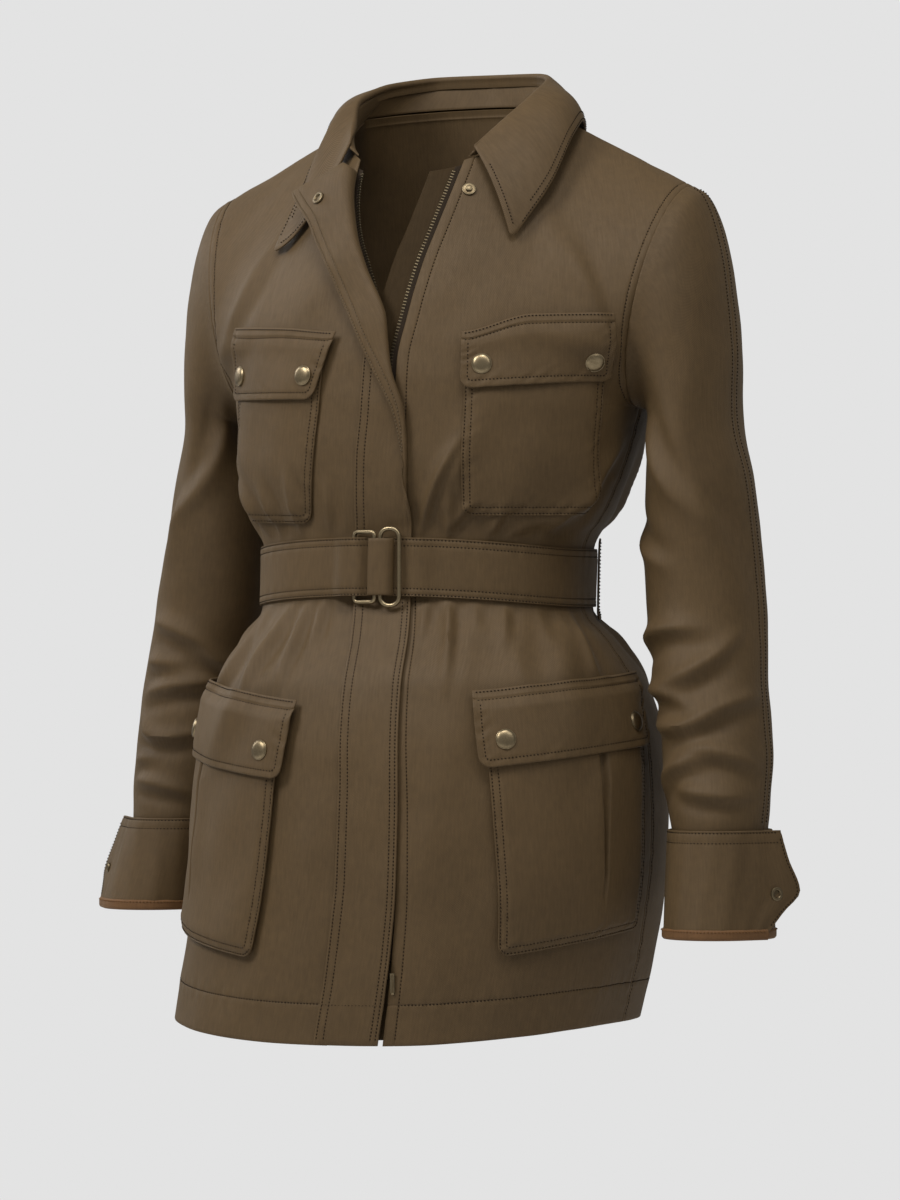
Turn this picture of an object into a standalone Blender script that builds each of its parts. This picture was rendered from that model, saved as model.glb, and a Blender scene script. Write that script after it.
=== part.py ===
"""Belted cotton field jacket in its worn form: hollow cut-and-sewn cloth and its metal fittings.

Metres, +Z up. The front faces -Y and the wearer's left is +X. The origin lies between the two
points where the shoulder seams meet the neck. A place on the body is given by its distance round
from the centre front or centre back and by its height, and by how far it stands off the cloth.
"""
import math
from collections import namedtuple

import bmesh
import bpy
import numpy as np

# Cloth and gaps
CLOTH = 0.0016
DOUBLE_CLOTH = 0.0019
SEAM_GAP = 0.0004
LAY_GAP = 0.0005

# Heights that the pieces share
ARMPIT = -0.225
BELT_TOP = -0.330
BELT_FOOT = -0.374
HEM = -0.684

# The body's rounded section: 2 is an ellipse, larger is squarer
SQUARENESS = 2.35
ROW_SAMPLES = 97

Section = namedtuple("Section", "height half_width front back lean_x lean_y front_lift")
BODY = (
    Section(HEM, 0.1760, 0.1490, 0.1450, -0.0290, -0.0140, -0.013),
    Section(-0.620, 0.1780, 0.1500, 0.1460, -0.0160, -0.0140, -0.012),
    Section(-0.560, 0.1780, 0.1500, 0.1450, -0.0080, -0.0140, -0.010),
    Section(-0.480, 0.1730, 0.1470, 0.1420, -0.0050, -0.0140, -0.008),
    Section(-0.430, 0.1630, 0.1370, 0.1350, -0.0050, -0.0150, -0.003),
    Section(-0.400, 0.1480, 0.1160, 0.1160, -0.0070, -0.0170, 0.003),
    Section(BELT_FOOT, 0.1262, 0.0975, 0.0960, -0.0105, -0.0180, 0.008),
    Section(BELT_TOP, 0.1262, 0.0975, 0.0960, -0.0095, -0.0180, 0.008),
    Section(-0.300, 0.1400, 0.1075, 0.1030, -0.0070, -0.0140, 0.006),
    Section(-0.262, 0.1525, 0.1170, 0.1080, -0.0050, -0.0080, 0.002),
    Section(ARMPIT, 0.1600, 0.1220, 0.1100, -0.0030, -0.0030, 0.000),
)
BELT_MIDDLE = (BELT_TOP + BELT_FOOT) / 2
LOWER_ROWS = (HEM, -0.655, -0.615, -0.570, -0.525, -0.485, -0.450, -0.422, -0.402, -0.387, BELT_FOOT,
              BELT_MIDDLE, BELT_TOP, -0.316, -0.295, -0.262, ARMPIT)
ARMHOLE_STEPS = 8

# Neck and shoulder points of the left half, mirrored for the right
NECK_SIDE = np.array((0.078, 0.014, 0.000))
SHOULDER_TIP = np.array((0.190, 0.020, -0.058))
NECK_FRONT = np.array((0.000, -0.078, -0.046))
NECK_BACK = np.array((0.000, 0.078, 0.010))
NECK_SHARE = 0.46
ARMHOLE_FRONT_DEPTH = 0.062
ARMHOLE_BACK_DEPTH = 0.058
RISE_POWER = 1.9
ARMHOLE_POWER = 3.0

# Largest folds: place round from the centre front or back, lean along the height, size and depth
Fold = namedtuple("Fold", "place height lean half_width half_height depth")
FRONT_FOLDS = (
    Fold(0.150, -0.405, -0.20, 0.017, 0.050, 0.0060),
    Fold(0.072, -0.410, -0.05, 0.015, 0.045, 0.0040),
    Fold(-0.100, -0.410, 0.20, 0.016, 0.055, 0.0055),
    Fold(-0.155, -0.405, 0.35, 0.017, 0.050, 0.0060),
    Fold(0.165, -0.288, 0.15, 0.020, 0.032, 0.0060),
    Fold(0.060, -0.285, 0.25, 0.015, 0.040, 0.0040),
    Fold(-0.125, -0.285, -0.20, 0.018, 0.036, 0.0055),
)
BACK_FOLDS = (
    Fold(0.000, -0.405, 0.00, 0.017, 0.050, 0.0050),
    Fold(0.075, -0.410, -0.15, 0.018, 0.055, 0.0060),
    Fold(-0.082, -0.408, 0.15, 0.018, 0.050, 0.0060),
    Fold(0.050, -0.285, 0.10, 0.018, 0.040, 0.0060),
    Fold(-0.048, -0.287, -0.10, 0.018, 0.036, 0.0055),
    Fold(0.125, -0.288, 0.10, 0.018, 0.034, 0.0055),
    Fold(-0.128, -0.286, -0.10, 0.018, 0.034, 0.0055),
)
BELT_HOLD = 0.030

# Front edges, as distances round from the centre front
Edge = namedtuple("Edge", "height left right")
FRONT_EDGES = (
    Edge(HEM, 0.0460, 0.0020),
    Edge(-0.350, 0.0220, -0.0060),
    Edge(-0.250, 0.0135, -0.0050),
    Edge(-0.181, 0.0140, -0.0040),
    Edge(-0.147, 0.0185, -0.0065),
    Edge(-0.093, 0.0260, -0.0240),
    Edge(-0.050, 0.0350, -0.0425),
    Edge(0.000, 0.0440, -0.0560),
)
FRONT_COLUMNS = 12
FRONT_NECK_COLUMN = 4
BACK_HALF_COLUMNS = 10
BACK_NECK_COLUMN = 4

# Fly strip: sewn line, roll line and free edge measured across the strip, and how far it is turned back
Strip = namedtuple("Strip", "height sewn roll width radius turn")
FLY = (
    Strip(-0.6835, -0.0080, 0.0410, 0.0510, 0.0016, 0.0),
    Strip(-0.500, -0.0120, 0.0380, 0.0480, 0.0016, 0.0),
    Strip(-0.350, -0.0155, 0.0360, 0.0455, 0.0016, 0.0),
    Strip(-0.320, -0.0155, 0.0360, 0.0455, 0.0016, 0.0),
    Strip(-0.298, -0.0155, 0.0385, 0.0460, 0.0016, 70.0),
    Strip(-0.272, -0.0155, 0.0400, 0.0469, 0.0017, 180.0),
    Strip(-0.232, -0.0140, 0.0348, 0.0468, 0.0020, 180.0),
    Strip(-0.190, -0.0130, 0.0214, 0.0409, 0.0026, 180.0),
    Strip(-0.147, -0.0110, 0.0130, 0.0480, 0.0028, 180.0),
    Strip(-0.093, -0.0290, 0.0070, 0.0451, 0.0040, 180.0),
    Strip(-0.062, -0.0415, 0.0060, 0.0507, 0.0050, 180.0),
    Strip(-0.036, -0.0500, 0.0053, 0.0585, 0.0058, 180.0),
    Strip(-0.012, -0.0560, 0.0050, 0.0759, 0.0065, 180.0),
)

# Free edge of the turned-back fly: where each of the strip's rows ends over the right front
Free = namedtuple("Free", "height place at out")
FLY_FREE = (
    Free(-0.272, 0.0257, -0.2712, 0.0060),
    Free(-0.232, 0.0152, -0.2323, 0.0062),
    Free(-0.190, -0.0027, -0.1921, 0.0064),
    Free(-0.147, -0.0234, -0.1464, 0.0072),
    Free(-0.120, -0.0339, -0.1262, 0.0085),
    Free(-0.093, -0.0461, -0.1033, 0.0100),
    Free(-0.062, -0.0624, -0.0831, 0.0130),
    Free(-0.036, -0.0746, -0.0711, 0.0170),
    Free(-0.012, -0.1040, -0.0633, 0.0215),
)
FLY_TURNING = (-0.290, -0.268)
FLY_SNAP = (-0.0285, 0.54)
FLY_FLAT_COLUMNS = 3
FLY_TURN_COLUMNS = 3
FLY_BACK_COLUMNS = 2
FLY_MID = 0.0022
FLY_CLOTH = 0.0018

# Zip and under-placket, set in from the front edges and below the cloth
TAPE_PAST_EDGE = 0.006
TAPE_UNDER = 0.009
TAPE_DEPTH = -0.0022
TAPE_CLOTH = 0.0011
LEFT_TAPE_TOP = -0.003
RIGHT_TAPE_TOP = -0.007
LEFT_TAPE_FOOT = -0.6220
RIGHT_TAPE_FOOT = -0.676
PLACKET_PAST_EDGE = 0.027
PLACKET_UNDER = 0.012
PLACKET_DEPTH = -0.0046
PLACKET_TOP = -0.001
PLACKET_FOOT = -0.680
SLIDER_TOP = -0.6230
SLIDER_FOOT = -0.6350
SLIDER_PLACE = 0.0369
SLIDER_HALF_WIDTH = 0.0036
SLIDER_INNER = -0.0042
SLIDER_OUTER = -0.0002
PULL_PIVOT = (0.0443, -0.6310, 0.0012)
PULL_LENGTH = 0.0150
PULL_HALF_WIDTH = 0.0017
PULL_THICKNESS = 0.0012

# Pockets and flaps: corners as distances round from the centre front and heights
Patch = namedtuple("Patch", "name side in_top out_top in_foot out_foot"
                            " in_top_z out_top_z in_foot_z out_foot_z proud")
POCKETS = (
    Patch("pocket_chest_left", 1, 0.067, 0.176, 0.068, 0.172, -0.192, -0.192, -0.309, -0.309, 0.0012),
    Patch("pocket_chest_right", -1, 0.047, 0.148, 0.055, 0.146, -0.198, -0.198, -0.312, -0.312, 0.0012),
    Patch("pocket_hip_left", 1, 0.098, 0.240, 0.120, 0.246, -0.455, -0.447, -0.622, -0.612, 0.0046),
    Patch("pocket_hip_right", -1, 0.062, 0.206, 0.074, 0.214, -0.455, -0.447, -0.624, -0.614, 0.0046),
)
FLAPS = (
    Patch("flap_chest_left", 1, 0.064, 0.178, 0.065, 0.179, -0.159, -0.157, -0.212, -0.206, 0.0016),
    Patch("flap_chest_right", -1, 0.036, 0.146, 0.052, 0.152, -0.166, -0.163, -0.219, -0.215, 0.0016),
    Patch("flap_hip_left", 1, 0.086, 0.238, 0.096, 0.246, -0.434, -0.424, -0.486, -0.477, 0.0050),
    Patch("flap_hip_right", -1, 0.050, 0.202, 0.058, 0.212, -0.440, -0.428, -0.494, -0.484, 0.0050),
)
PATCH_STEPS = (0.0, 0.06, 0.20, 0.35, 0.50, 0.65, 0.80, 0.94, 1.0)
POCKET_DROPS = (0.0, 0.22, 0.45, 0.70, 0.92, 1.0)
PATCH_GAP = 0.0009
FLAP_DROPS = (0.0, 0.10, 0.30, 0.65, 1.0)
EDGE_ROLL = 0.09
CORNER_ROUND = 0.006

# Snaps
SNAP_RADIUS = 0.0075
SNAP_HEIGHT = 0.0022
SNAP_SIDES = 12
SNAP_SHARES = (0.135, 0.865)
SNAP_DROP = 0.66
SMALL_SNAP_RADIUS = 0.0050

# Collar: fold line and outer edge of each half, from the centre back to the front point
Collar = namedtuple("Collar", "share fold_x fold_y fold_z edge_x edge_y edge_z")
COLLAR_BACK = (
    Collar(0.00, 0.000, 0.084, 0.036, 0.000, 0.094, -0.018),
    Collar(0.25, 0.042, 0.074, 0.035, 0.058, 0.079, -0.020),
    Collar(0.50, 0.068, 0.034, 0.028, 0.096, 0.038, -0.017),
    Collar(0.60, 0.072, 0.013, 0.022, 0.106, 0.012, -0.007),
    Collar(0.70, 0.073, -0.008, 0.014, 0.109, -0.014, -0.018),
)
COLLAR = {
    1.0: COLLAR_BACK + (
        Collar(0.86, 0.063, -0.036, -0.006, 0.106, -0.046, -0.053),
        Collar(1.00, 0.047, -0.062, -0.029, 0.0873, -0.0832, -0.1018)),
    -1.0: COLLAR_BACK[:-2] + (
        Collar(0.60, 0.072, 0.013, 0.022, 0.100, 0.008, -0.005),
        Collar(0.70, 0.073, -0.008, 0.014, 0.090, -0.034, -0.024),
        Collar(0.86, 0.068, -0.030, -0.004, 0.1004, -0.0524, -0.0575),
        Collar(1.00, 0.060, -0.052, -0.022, 0.1175, -0.0695, -0.1043)),
}
RIGHT_END_CROWN = (0.0061, -0.0275, -0.0361)
COLLAR_HALF_COLUMNS = 10
COLLAR_ROWS = 5
COLLAR_CROWN = 0.010
STAND_ROWS = 3

# Sleeves: centre and half sizes at each height, on the wearer's left and right
Arm = namedtuple("Arm", "height x y half_x half_y")
SLEEVES = {
    "left": (1, (
        Arm(-0.275, 0.2030, 0.004, 0.0375, 0.0560),
        Arm(-0.320, 0.2045, 0.005, 0.0415, 0.0545),
        Arm(-0.370, 0.2080, 0.004, 0.0435, 0.0525),
        Arm(-0.430, 0.2160, -0.008, 0.0420, 0.0500),
        Arm(-0.485, 0.2265, -0.020, 0.0400, 0.0470),
        Arm(-0.520, 0.2300, -0.027, 0.0370, 0.0440),
        Arm(-0.546, 0.2320, -0.030, 0.0335, 0.0405))),
    "right": (-1, (
        Arm(-0.275, 0.2030, 0.036, 0.0390, 0.0530),
        Arm(-0.320, 0.2080, 0.038, 0.0440, 0.0530),
        Arm(-0.370, 0.2165, 0.042, 0.0470, 0.0520),
        Arm(-0.430, 0.2300, 0.046, 0.0460, 0.0505),
        Arm(-0.485, 0.2410, 0.046, 0.0430, 0.0475),
        Arm(-0.520, 0.2470, 0.042, 0.0385, 0.0440),
        Arm(-0.546, 0.2500, 0.038, 0.0335, 0.0405))),
}
CAP_OUT = {"left": 0.040, "right": 0.042}
CAP_FOOT = -0.236
CAP_STEPS = 5
UNDERARM_RADIUS = 0.012
SLEEVE_ROWS = 10

# Cuffs: open bands whose front end stands off as a pointed tab
Cuff = namedtuple("Cuff", "top foot foot_x foot_y")
CUFFS = {
    "left": Cuff(-0.538, -0.613, 0.2340, -0.037),
    "right": Cuff(-0.538, -0.604, 0.2640, 0.030),
}
CUFF_TOP_HALF = (0.0378, 0.0448)
CUFF_FOOT_HALF = (0.0405, 0.0480)
CUFF_UNDERLAP_TURN = -188.0
CUFF_LEAVING_TURN = 140.0
CUFF_COLUMNS = 18
CUFF_ROWS = 6
TAB_COLUMNS = 3
TAB_SNAP = (0.62, 0.58)
TAB_SNAP_GAP = 0.0022
Tab = namedtuple("Tab", "drop length")
TAB_END = (Tab(0.0, 0.034), Tab(0.28, 0.041), Tab(0.60, 0.051), Tab(0.80, 0.036), Tab(1.0, 0.022))
BINDING_HEIGHT = 0.0045
BINDING_PROUD = 0.0004

# Belt, its keeper and its two wire rings
BELT_CLOTH = 0.0020
BELT_COLUMNS = 56
BELT_NEAR_COLUMNS = 16
BELT_OVER_FLY = 0.0036
BELT_OVER_RING = 0.0088
BELT_FLY_REACH = (-0.0230, 0.0370)
BELT_RING_REACH = (-0.0195, -0.0085)
BELT_EASE = 0.014
KEEPER_INNER = 0.0116
KEEPER_FOOT = 0.0068
KEEPER_ENDS = (-0.0005, 0.0175)
KEEPER_FLAT = (0.0020, 0.0120)
KEEPER_INSET = 0.0006
Ring = namedtuple("Ring", "name near far half_height near_out far_out")
RINGS = (
    Ring("belt_ring_front", 0.0090, 0.0235, 0.0285, 0.0094, 0.0094),
    Ring("belt_ring_rear", -0.0130, 0.0045, 0.0260, 0.0066, 0.0094),
)
RING_WIRE = 0.00165
RING_CORNER = 0.0065
RING_SIDES = 6
LOOP_HALF_WIDTH = 0.004
LOOP_TOP = -0.321
LOOP_FOOT = -0.384
LOOP_OFFSETS = (0.0016, 0.0036, 0.0036, 0.0036, 0.0016)
LOOP_PLACES = {"belt_loop_left": 0.222, "belt_loop_right": -0.222}

# Colours: red, green and blue, roughness and metal
Finish = namedtuple("Finish", "red green blue rough metal")
FINISHES = {
    "olive_cotton": Finish(0.105, 0.082, 0.050, 0.80, 0.0),
    "brown_binding": Finish(0.120, 0.070, 0.028, 0.75, 0.0),
    "dark_tape": Finish(0.035, 0.028, 0.020, 0.85, 0.0),
    "antique_brass": Finish(0.300, 0.210, 0.100, 0.38, 1.0),
}


def clear_scene():
    for thing in list(bpy.data.objects):
        bpy.data.objects.remove(thing, do_unlink=True)


def material(name):
    made = bpy.data.materials.get(name)
    if made:
        return made
    finish = FINISHES[name]
    made = bpy.data.materials.new(name)
    made.use_nodes = True
    shader = made.node_tree.nodes["Principled BSDF"]
    shader.inputs["Base Color"].default_value = (finish.red, finish.green, finish.blue, 1.0)
    shader.inputs["Roughness"].default_value = finish.rough
    shader.inputs["Metallic"].default_value = finish.metal
    return made


def smooth(rows, column, at):
    """A table's column at a height, on a smooth curve that never swings past its rows."""
    keys = np.array([row[0] for row in rows])
    values = np.array([getattr(row, column) for row in rows])
    secants = np.diff(values) / np.diff(keys)
    before, after = secants[:-1], secants[1:]
    same_way = before * after > 0
    inner = np.where(same_way, 2 * before * after / np.where(same_way, before + after, 1.0), 0.0)
    slopes = np.concatenate((secants[:1], inner, secants[-1:]))
    at = min(max(at, keys[0]), keys[-1])
    index = min(max(int(np.searchsorted(keys, at)) - 1, 0), len(keys) - 2)
    step = keys[index + 1] - keys[index]
    t = (at - keys[index]) / step
    rise = t * t * (3 - 2 * t)
    return (values[index] * (1 - rise) + values[index + 1] * rise
            + slopes[index] * step * t * (1 - t) ** 2 - slopes[index + 1] * step * t * t * (1 - t))


def between(a, b, share):
    return a + (b - a) * share


def ease(value, low, high):
    t = min(max((value - low) / (high - low), 0.0), 1.0)
    return t * t * (3 - 2 * t)


def lower_row(height, back):
    """Half of the body's section below the armpit, from the centre to the side seam."""
    turn = np.linspace(0.0, math.pi / 2, ROW_SAMPLES)
    power = 2.0 / SQUARENESS
    depth = smooth(BODY, "back" if back else "front", height)
    sign = 1.0 if back else -1.0
    x = smooth(BODY, "half_width", height) * np.sin(turn) ** power
    y = smooth(BODY, "lean_y", height) + sign * depth * np.abs(np.cos(turn)) ** power
    lift = 0.0 if back else smooth(BODY, "front_lift", height)
    return np.stack((x, y, height + lift * np.cos(turn) ** 2), axis=1)


def top_row(back):
    """Half of the panel's top edge: the neckline and then the shoulder seam."""
    share = np.linspace(0.0, 1.0, ROW_SAMPLES)[:, None]
    turn = np.clip(share / NECK_SHARE, 0.0, 1.0) * math.pi / 2
    middle = NECK_BACK if back else NECK_FRONT
    neck = middle * np.cos(turn) + NECK_SIDE * (1 - np.cos(turn))
    neck[:, :1] = NECK_SIDE[0] * np.sin(turn)
    along = np.clip((share - NECK_SHARE) / (1 - NECK_SHARE), 0.0, 1.0)
    return np.where(share <= NECK_SHARE, neck, between(NECK_SIDE, SHOULDER_TIP, along))


def armhole(rise, back):
    """The armhole's edge from the armpit, 0, to the shoulder tip, 1. It lies in one plane."""
    foot = lower_row(ARMPIT, back)[-1]
    edge = between(foot, SHOULDER_TIP, rise)
    swing = 2.0 * math.sqrt(max(rise * (1.0 - rise), 0.0))
    edge[1] += swing * (ARMHOLE_BACK_DEPTH if back else -ARMHOLE_FRONT_DEPTH)
    return edge


def upper_row(height, back):
    """Half of a panel's row above the armpit, swept from the chest up to its top edge."""
    rise = min(1.0 - height / ARMPIT, 1.0)
    low = lower_row(ARMPIT, back)
    top = top_row(back)
    row = between(low, top, rise ** RISE_POWER)
    row[:, 2] = between(low[:, 2], top[:, 2], rise)
    share = np.linspace(0.0, 1.0, ROW_SAMPLES)[:, None]
    return row + (armhole(rise, back) - row[-1]) * share ** ARMHOLE_POWER


ROW_STORE = {}


def half_row(height, back):
    """A half row with the distance round to each of its points, kept once worked out."""
    key = (round(height, 6), back)
    if key not in ROW_STORE:
        row = lower_row(height, back) if height <= ARMPIT else upper_row(height, back)
        steps = np.linalg.norm(np.diff(row, axis=0), axis=1)
        ROW_STORE[key] = (row, np.concatenate(((0.0,), np.cumsum(steps))))
    return ROW_STORE[key]


def reach(height, back=False):
    """Distance round from the centre to the side seam or the armhole."""
    return half_row(height, back)[1][-1]


def plain_point(place, height, back):
    row, run = half_row(height, back)
    x, y, z = (np.interp(abs(place), run, row[:, axis]) for axis in range(3))
    lean = smooth(BODY, "lean_x", height) * min(height / ARMPIT, 1.0)
    return np.array((lean + math.copysign(x, place), y, z))


def outward(place, height, back):
    """The cloth's outward direction, from its neighbouring points."""
    side_step, up_step = 0.0010, 0.0020
    limit = reach(height, back) - 1e-6
    across = (plain_point(min(place + side_step, limit), height, back)
              - plain_point(max(place - side_step, -limit), height, back))
    low = max(height - up_step, HEM)
    high = min(height + up_step, 0.0)
    share = place / reach(height, back)
    up = (plain_point(share * reach(high, back), high, back)
          - plain_point(share * reach(low, back), low, back))
    normal = np.cross(across, up)
    normal /= np.linalg.norm(normal)
    return -normal if back else normal


def fold_depth(place, height, back):
    """How far the largest folds stand out here. The belt holds the cloth flat."""
    total = 0.0
    for fold in (BACK_FOLDS if back else FRONT_FOLDS):
        up = height - fold.height
        off = place - fold.place - fold.lean * up
        total += fold.depth * math.exp(-(off / fold.half_width) ** 2 - (up / fold.half_height) ** 2)
    past_belt = max(BELT_FOOT - height, height - BELT_TOP, 0.0)
    return total * (1.0 - math.exp(-(past_belt / BELT_HOLD) ** 2))


def skin(place, height, out=0.0, back=False):
    """A point of the cloth's outer face, moved out by a distance."""
    stand = fold_depth(place, height, back) + out
    return plain_point(place, height, back) + outward(place, height, back) * stand


def ring_skin(distance, height, out):
    """A point all the way round the body, from the centre front by the wearer's left."""
    front = reach(height)
    if abs(distance) <= front:
        return skin(distance, height, out)
    past = front + reach(height, True) - abs(distance)
    return skin(math.copysign(max(past, 0.0), distance), height, out, True)


def ring_outward(distance, height):
    front = reach(height)
    if abs(distance) <= front:
        return outward(distance, height, False)
    past = front + reach(height, True) - abs(distance)
    return outward(math.copysign(past, distance), height, True)


def build(name, points, faces, finish):
    """A named object from points and faces, with its faces turned out."""
    mesh = bpy.data.meshes.new(name)
    mesh.from_pydata([tuple(map(float, point)) for point in points], [], faces)
    work = bmesh.new()
    work.from_mesh(mesh)
    bmesh.ops.recalc_face_normals(work, faces=work.faces)
    bmesh.ops.triangulate(work, faces=work.faces)
    work.to_mesh(mesh)
    work.free()
    mesh.materials.append(material(finish))
    mesh.shade_smooth()
    mesh.set_sharp_from_angle(angle=math.radians(50))
    made = bpy.data.objects.new(name, mesh)
    bpy.context.scene.collection.objects.link(made)
    return made


def wall(name, outer, inner, finish="olive_cotton", closed=False):
    """A closed cloth wall between an outer and an inner net of points, row by row."""
    outer, inner = np.asarray(outer, float), np.asarray(inner, float)
    rows, columns = outer.shape[:2]
    points = np.concatenate((outer.reshape(-1, 3), inner.reshape(-1, 3)))
    inside = rows * columns
    across = columns if closed else columns - 1
    faces = []
    for row in range(rows - 1):
        for column in range(across):
            a = row * columns + column
            b = row * columns + (column + 1) % columns
            faces.append((a, b, b + columns, a + columns))
            faces.append((a + inside, a + columns + inside, b + columns + inside, b + inside))
    for row in (0, rows - 1):
        for column in range(across):
            a = row * columns + column
            b = row * columns + (column + 1) % columns
            faces.append((a, b, b + inside, a + inside))
    if not closed:
        for column in (0, columns - 1):
            for row in range(rows - 1):
                a = row * columns + column
                faces.append((a, a + columns, a + columns + inside, a + inside))
    return build(name, points, faces, finish)


def keep_in_plane(outer, inner, normal):
    """Slide the inner edge of a seam into the seam's plane, so that two pieces meet in a mitre."""
    step = inner - outer
    return outer + step - np.outer(step @ normal, normal)


def armhole_normal(sign):
    foot = lower_row(ARMPIT, False)[-1]
    rise = SHOULDER_TIP - foot
    normal = np.array((rise[2], 0.0, -rise[0]))
    normal /= np.linalg.norm(normal)
    return normal * np.array((sign, 1.0, 1.0))


def panel_heights():
    rises = [(1 - math.cos(math.pi * step / ARMHOLE_STEPS)) / 2 for step in range(1, ARMHOLE_STEPS + 1)]
    return list(LOWER_ROWS) + [ARMPIT * (1 - rise) for rise in rises]


def panel_places(height, start, columns, neck_column, back):
    """Distances round to a half panel's columns; near the top one of them meets the neck point."""
    end = reach(height, back) - (SEAM_GAP / 2 if height <= ARMPIT else 0.0)
    even = np.linspace(start, end, columns)
    rise = max(1.0 - height / ARMPIT, 0.0)
    if rise == 0.0:
        return even
    row, run = half_row(0.0, back)
    neck = run[int(round(NECK_SHARE * (ROW_SAMPLES - 1)))] / run[-1] * end
    cornered = np.concatenate((np.linspace(start, neck, neck_column + 1)[:-1],
                               np.linspace(neck, end, columns - neck_column)))
    return between(even, cornered, rise ** 2)


def panel(name, sides, start, columns, neck_column, back):
    """A front or back panel: rows from the hem to the shoulder seam."""
    shoulder = np.array((0.0, 1.0, 0.0))
    outer, inner = [], []
    for height in panel_heights():
        places = panel_places(height, start(height), columns, neck_column, back)
        if len(sides) == 2:
            places = np.concatenate((-places[:0:-1], places))
        else:
            places = places * sides[0]
        outer.append([skin(place, height, 0.0, back) for place in places])
        inner.append([skin(place, height, -CLOTH, back) for place in places])
    outer, inner = np.array(outer), np.array(inner)
    top_shift = SEAM_GAP / 2 * (1 if back else -1)
    outer[-1, :, 1] += top_shift
    inner[-1, :, 1] += top_shift
    inner[-1] = keep_in_plane(outer[-1], inner[-1], shoulder)
    first_upper = len(LOWER_ROWS)
    for side in sides:
        column = -1 if side > 0 or len(sides) == 1 else 0
        edge = (slice(first_upper, None), column)
        inner[edge] = keep_in_plane(outer[edge], inner[edge], armhole_normal(side))
    return wall(name, outer, inner)


def make_panels():
    panel("front_left", (1,), lambda z: smooth(FRONT_EDGES, "left", z),
          FRONT_COLUMNS, FRONT_NECK_COLUMN, False)
    panel("front_right", (-1,), lambda z: -smooth(FRONT_EDGES, "right", z),
          FRONT_COLUMNS, FRONT_NECK_COLUMN, False)
    panel("back", (-1, 1), lambda z: 0.0, BACK_HALF_COLUMNS, BACK_NECK_COLUMN, True)


def fly_columns(row):
    """Across the strip: lengths along it for the flat part, the turn and the part turned back."""
    arc = math.pi * row.radius
    flat = np.linspace(0.0, row.roll, FLY_FLAT_COLUMNS + 1)
    turn = row.roll + np.linspace(0.0, arc, FLY_TURN_COLUMNS + 1)[1:]
    back = np.linspace(row.roll + arc, row.width, FLY_BACK_COLUMNS + 1)[1:]
    return np.concatenate((flat, turn, back))


def fly_point(row, along, side):
    """A point of the strip's wall, with side +1 on the face that lies outward when flat."""
    arc = math.pi * row.radius
    full = math.radians(min(max(row.turn, 0.01), 180.0))
    angle = full * min(max((along - row.roll) / arc, 0.0), 1.0)
    bend = arc / full
    rest = max(along - row.roll - arc, 0.0)
    place = row.sewn + min(along, row.roll) + bend * math.sin(angle) + rest * math.cos(angle)
    out = FLY_MID + bend * (1 - math.cos(angle)) + rest * math.sin(angle)
    height = row.height
    turned = float(ease(row.height, *FLY_TURNING))
    if rest > 0.0 and turned > 0.0:
        share = rest / (row.width - row.roll - arc)
        free = Free(height, *(smooth(FLY_FREE, column, height) for column in Free._fields[1:]))
        place = between(place, between(row.sewn + row.roll, free.place, share), turned)
        out = between(out, between(FLY_MID + 2 * row.radius, free.out, share), turned)
        height = between(height, free.at, share * turned)
    half = FLY_CLOTH / 2 * side
    return skin(place - half * math.sin(angle), height, out + half * math.cos(angle))


def fly_row(height):
    return Strip(height, *(smooth(FLY, column, height) for column in Strip._fields[1:]))


def row_reach(height):
    """How far across the strip its turn ends at a height."""
    row = fly_row(height)
    return row.roll + math.pi * row.radius


def row_heights(foot, top):
    """The panels' rows between two heights, so that what lies on a panel bends where it does."""
    near = 0.004
    inside = [height for height in panel_heights() if foot + near < height < top - near]
    return [foot] + inside + [top]


def make_fly():
    outer, inner = [], []
    for height in row_heights(FLY[0].height, FLY[-1].height):
        row = fly_row(height)
        columns = fly_columns(row)
        outer.append([fly_point(row, along, 1) for along in columns])
        inner.append([fly_point(row, along, -1) for along in columns])
    wall("fly", outer, inner)


def under_strip(name, edge, past, under, side, depth, cloth, top, foot, finish):
    """A strip beneath a front edge: a zip tape or the placket behind it."""
    outer, inner = [], []
    for height in row_heights(foot, top):
        start = smooth(FRONT_EDGES, edge, height)
        places = np.linspace(start - past * side, start + under * side, 3)
        outer.append([skin(place, height, depth) for place in places])
        inner.append([skin(place, height, depth - cloth) for place in places])
    wall(name, outer, inner, finish)


def make_zip():
    under_strip("zip_tape_left", "left", TAPE_PAST_EDGE, TAPE_UNDER, 1, TAPE_DEPTH, TAPE_CLOTH,
                LEFT_TAPE_TOP, LEFT_TAPE_FOOT, "dark_tape")
    under_strip("zip_tape_right", "right", TAPE_PAST_EDGE, TAPE_UNDER, -1, TAPE_DEPTH, TAPE_CLOTH,
                RIGHT_TAPE_TOP, RIGHT_TAPE_FOOT, "dark_tape")
    under_strip("under_placket", "left", PLACKET_PAST_EDGE, PLACKET_UNDER, 1, PLACKET_DEPTH, CLOTH,
                PLACKET_TOP, PLACKET_FOOT, "olive_cotton")
    outer, inner = [], []
    for height in np.linspace(SLIDER_FOOT, SLIDER_TOP, 4):
        taper = between(0.75, 1.0, (height - SLIDER_FOOT) / (SLIDER_TOP - SLIDER_FOOT))
        places = SLIDER_PLACE + SLIDER_HALF_WIDTH * taper * np.linspace(-1.0, 1.0, 4)
        outer.append([skin(place, height, SLIDER_OUTER) for place in places])
        inner.append([skin(place, height, SLIDER_INNER) for place in places])
    wall("zip_slider", outer, inner, "antique_brass")
    make_pull()


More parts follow.
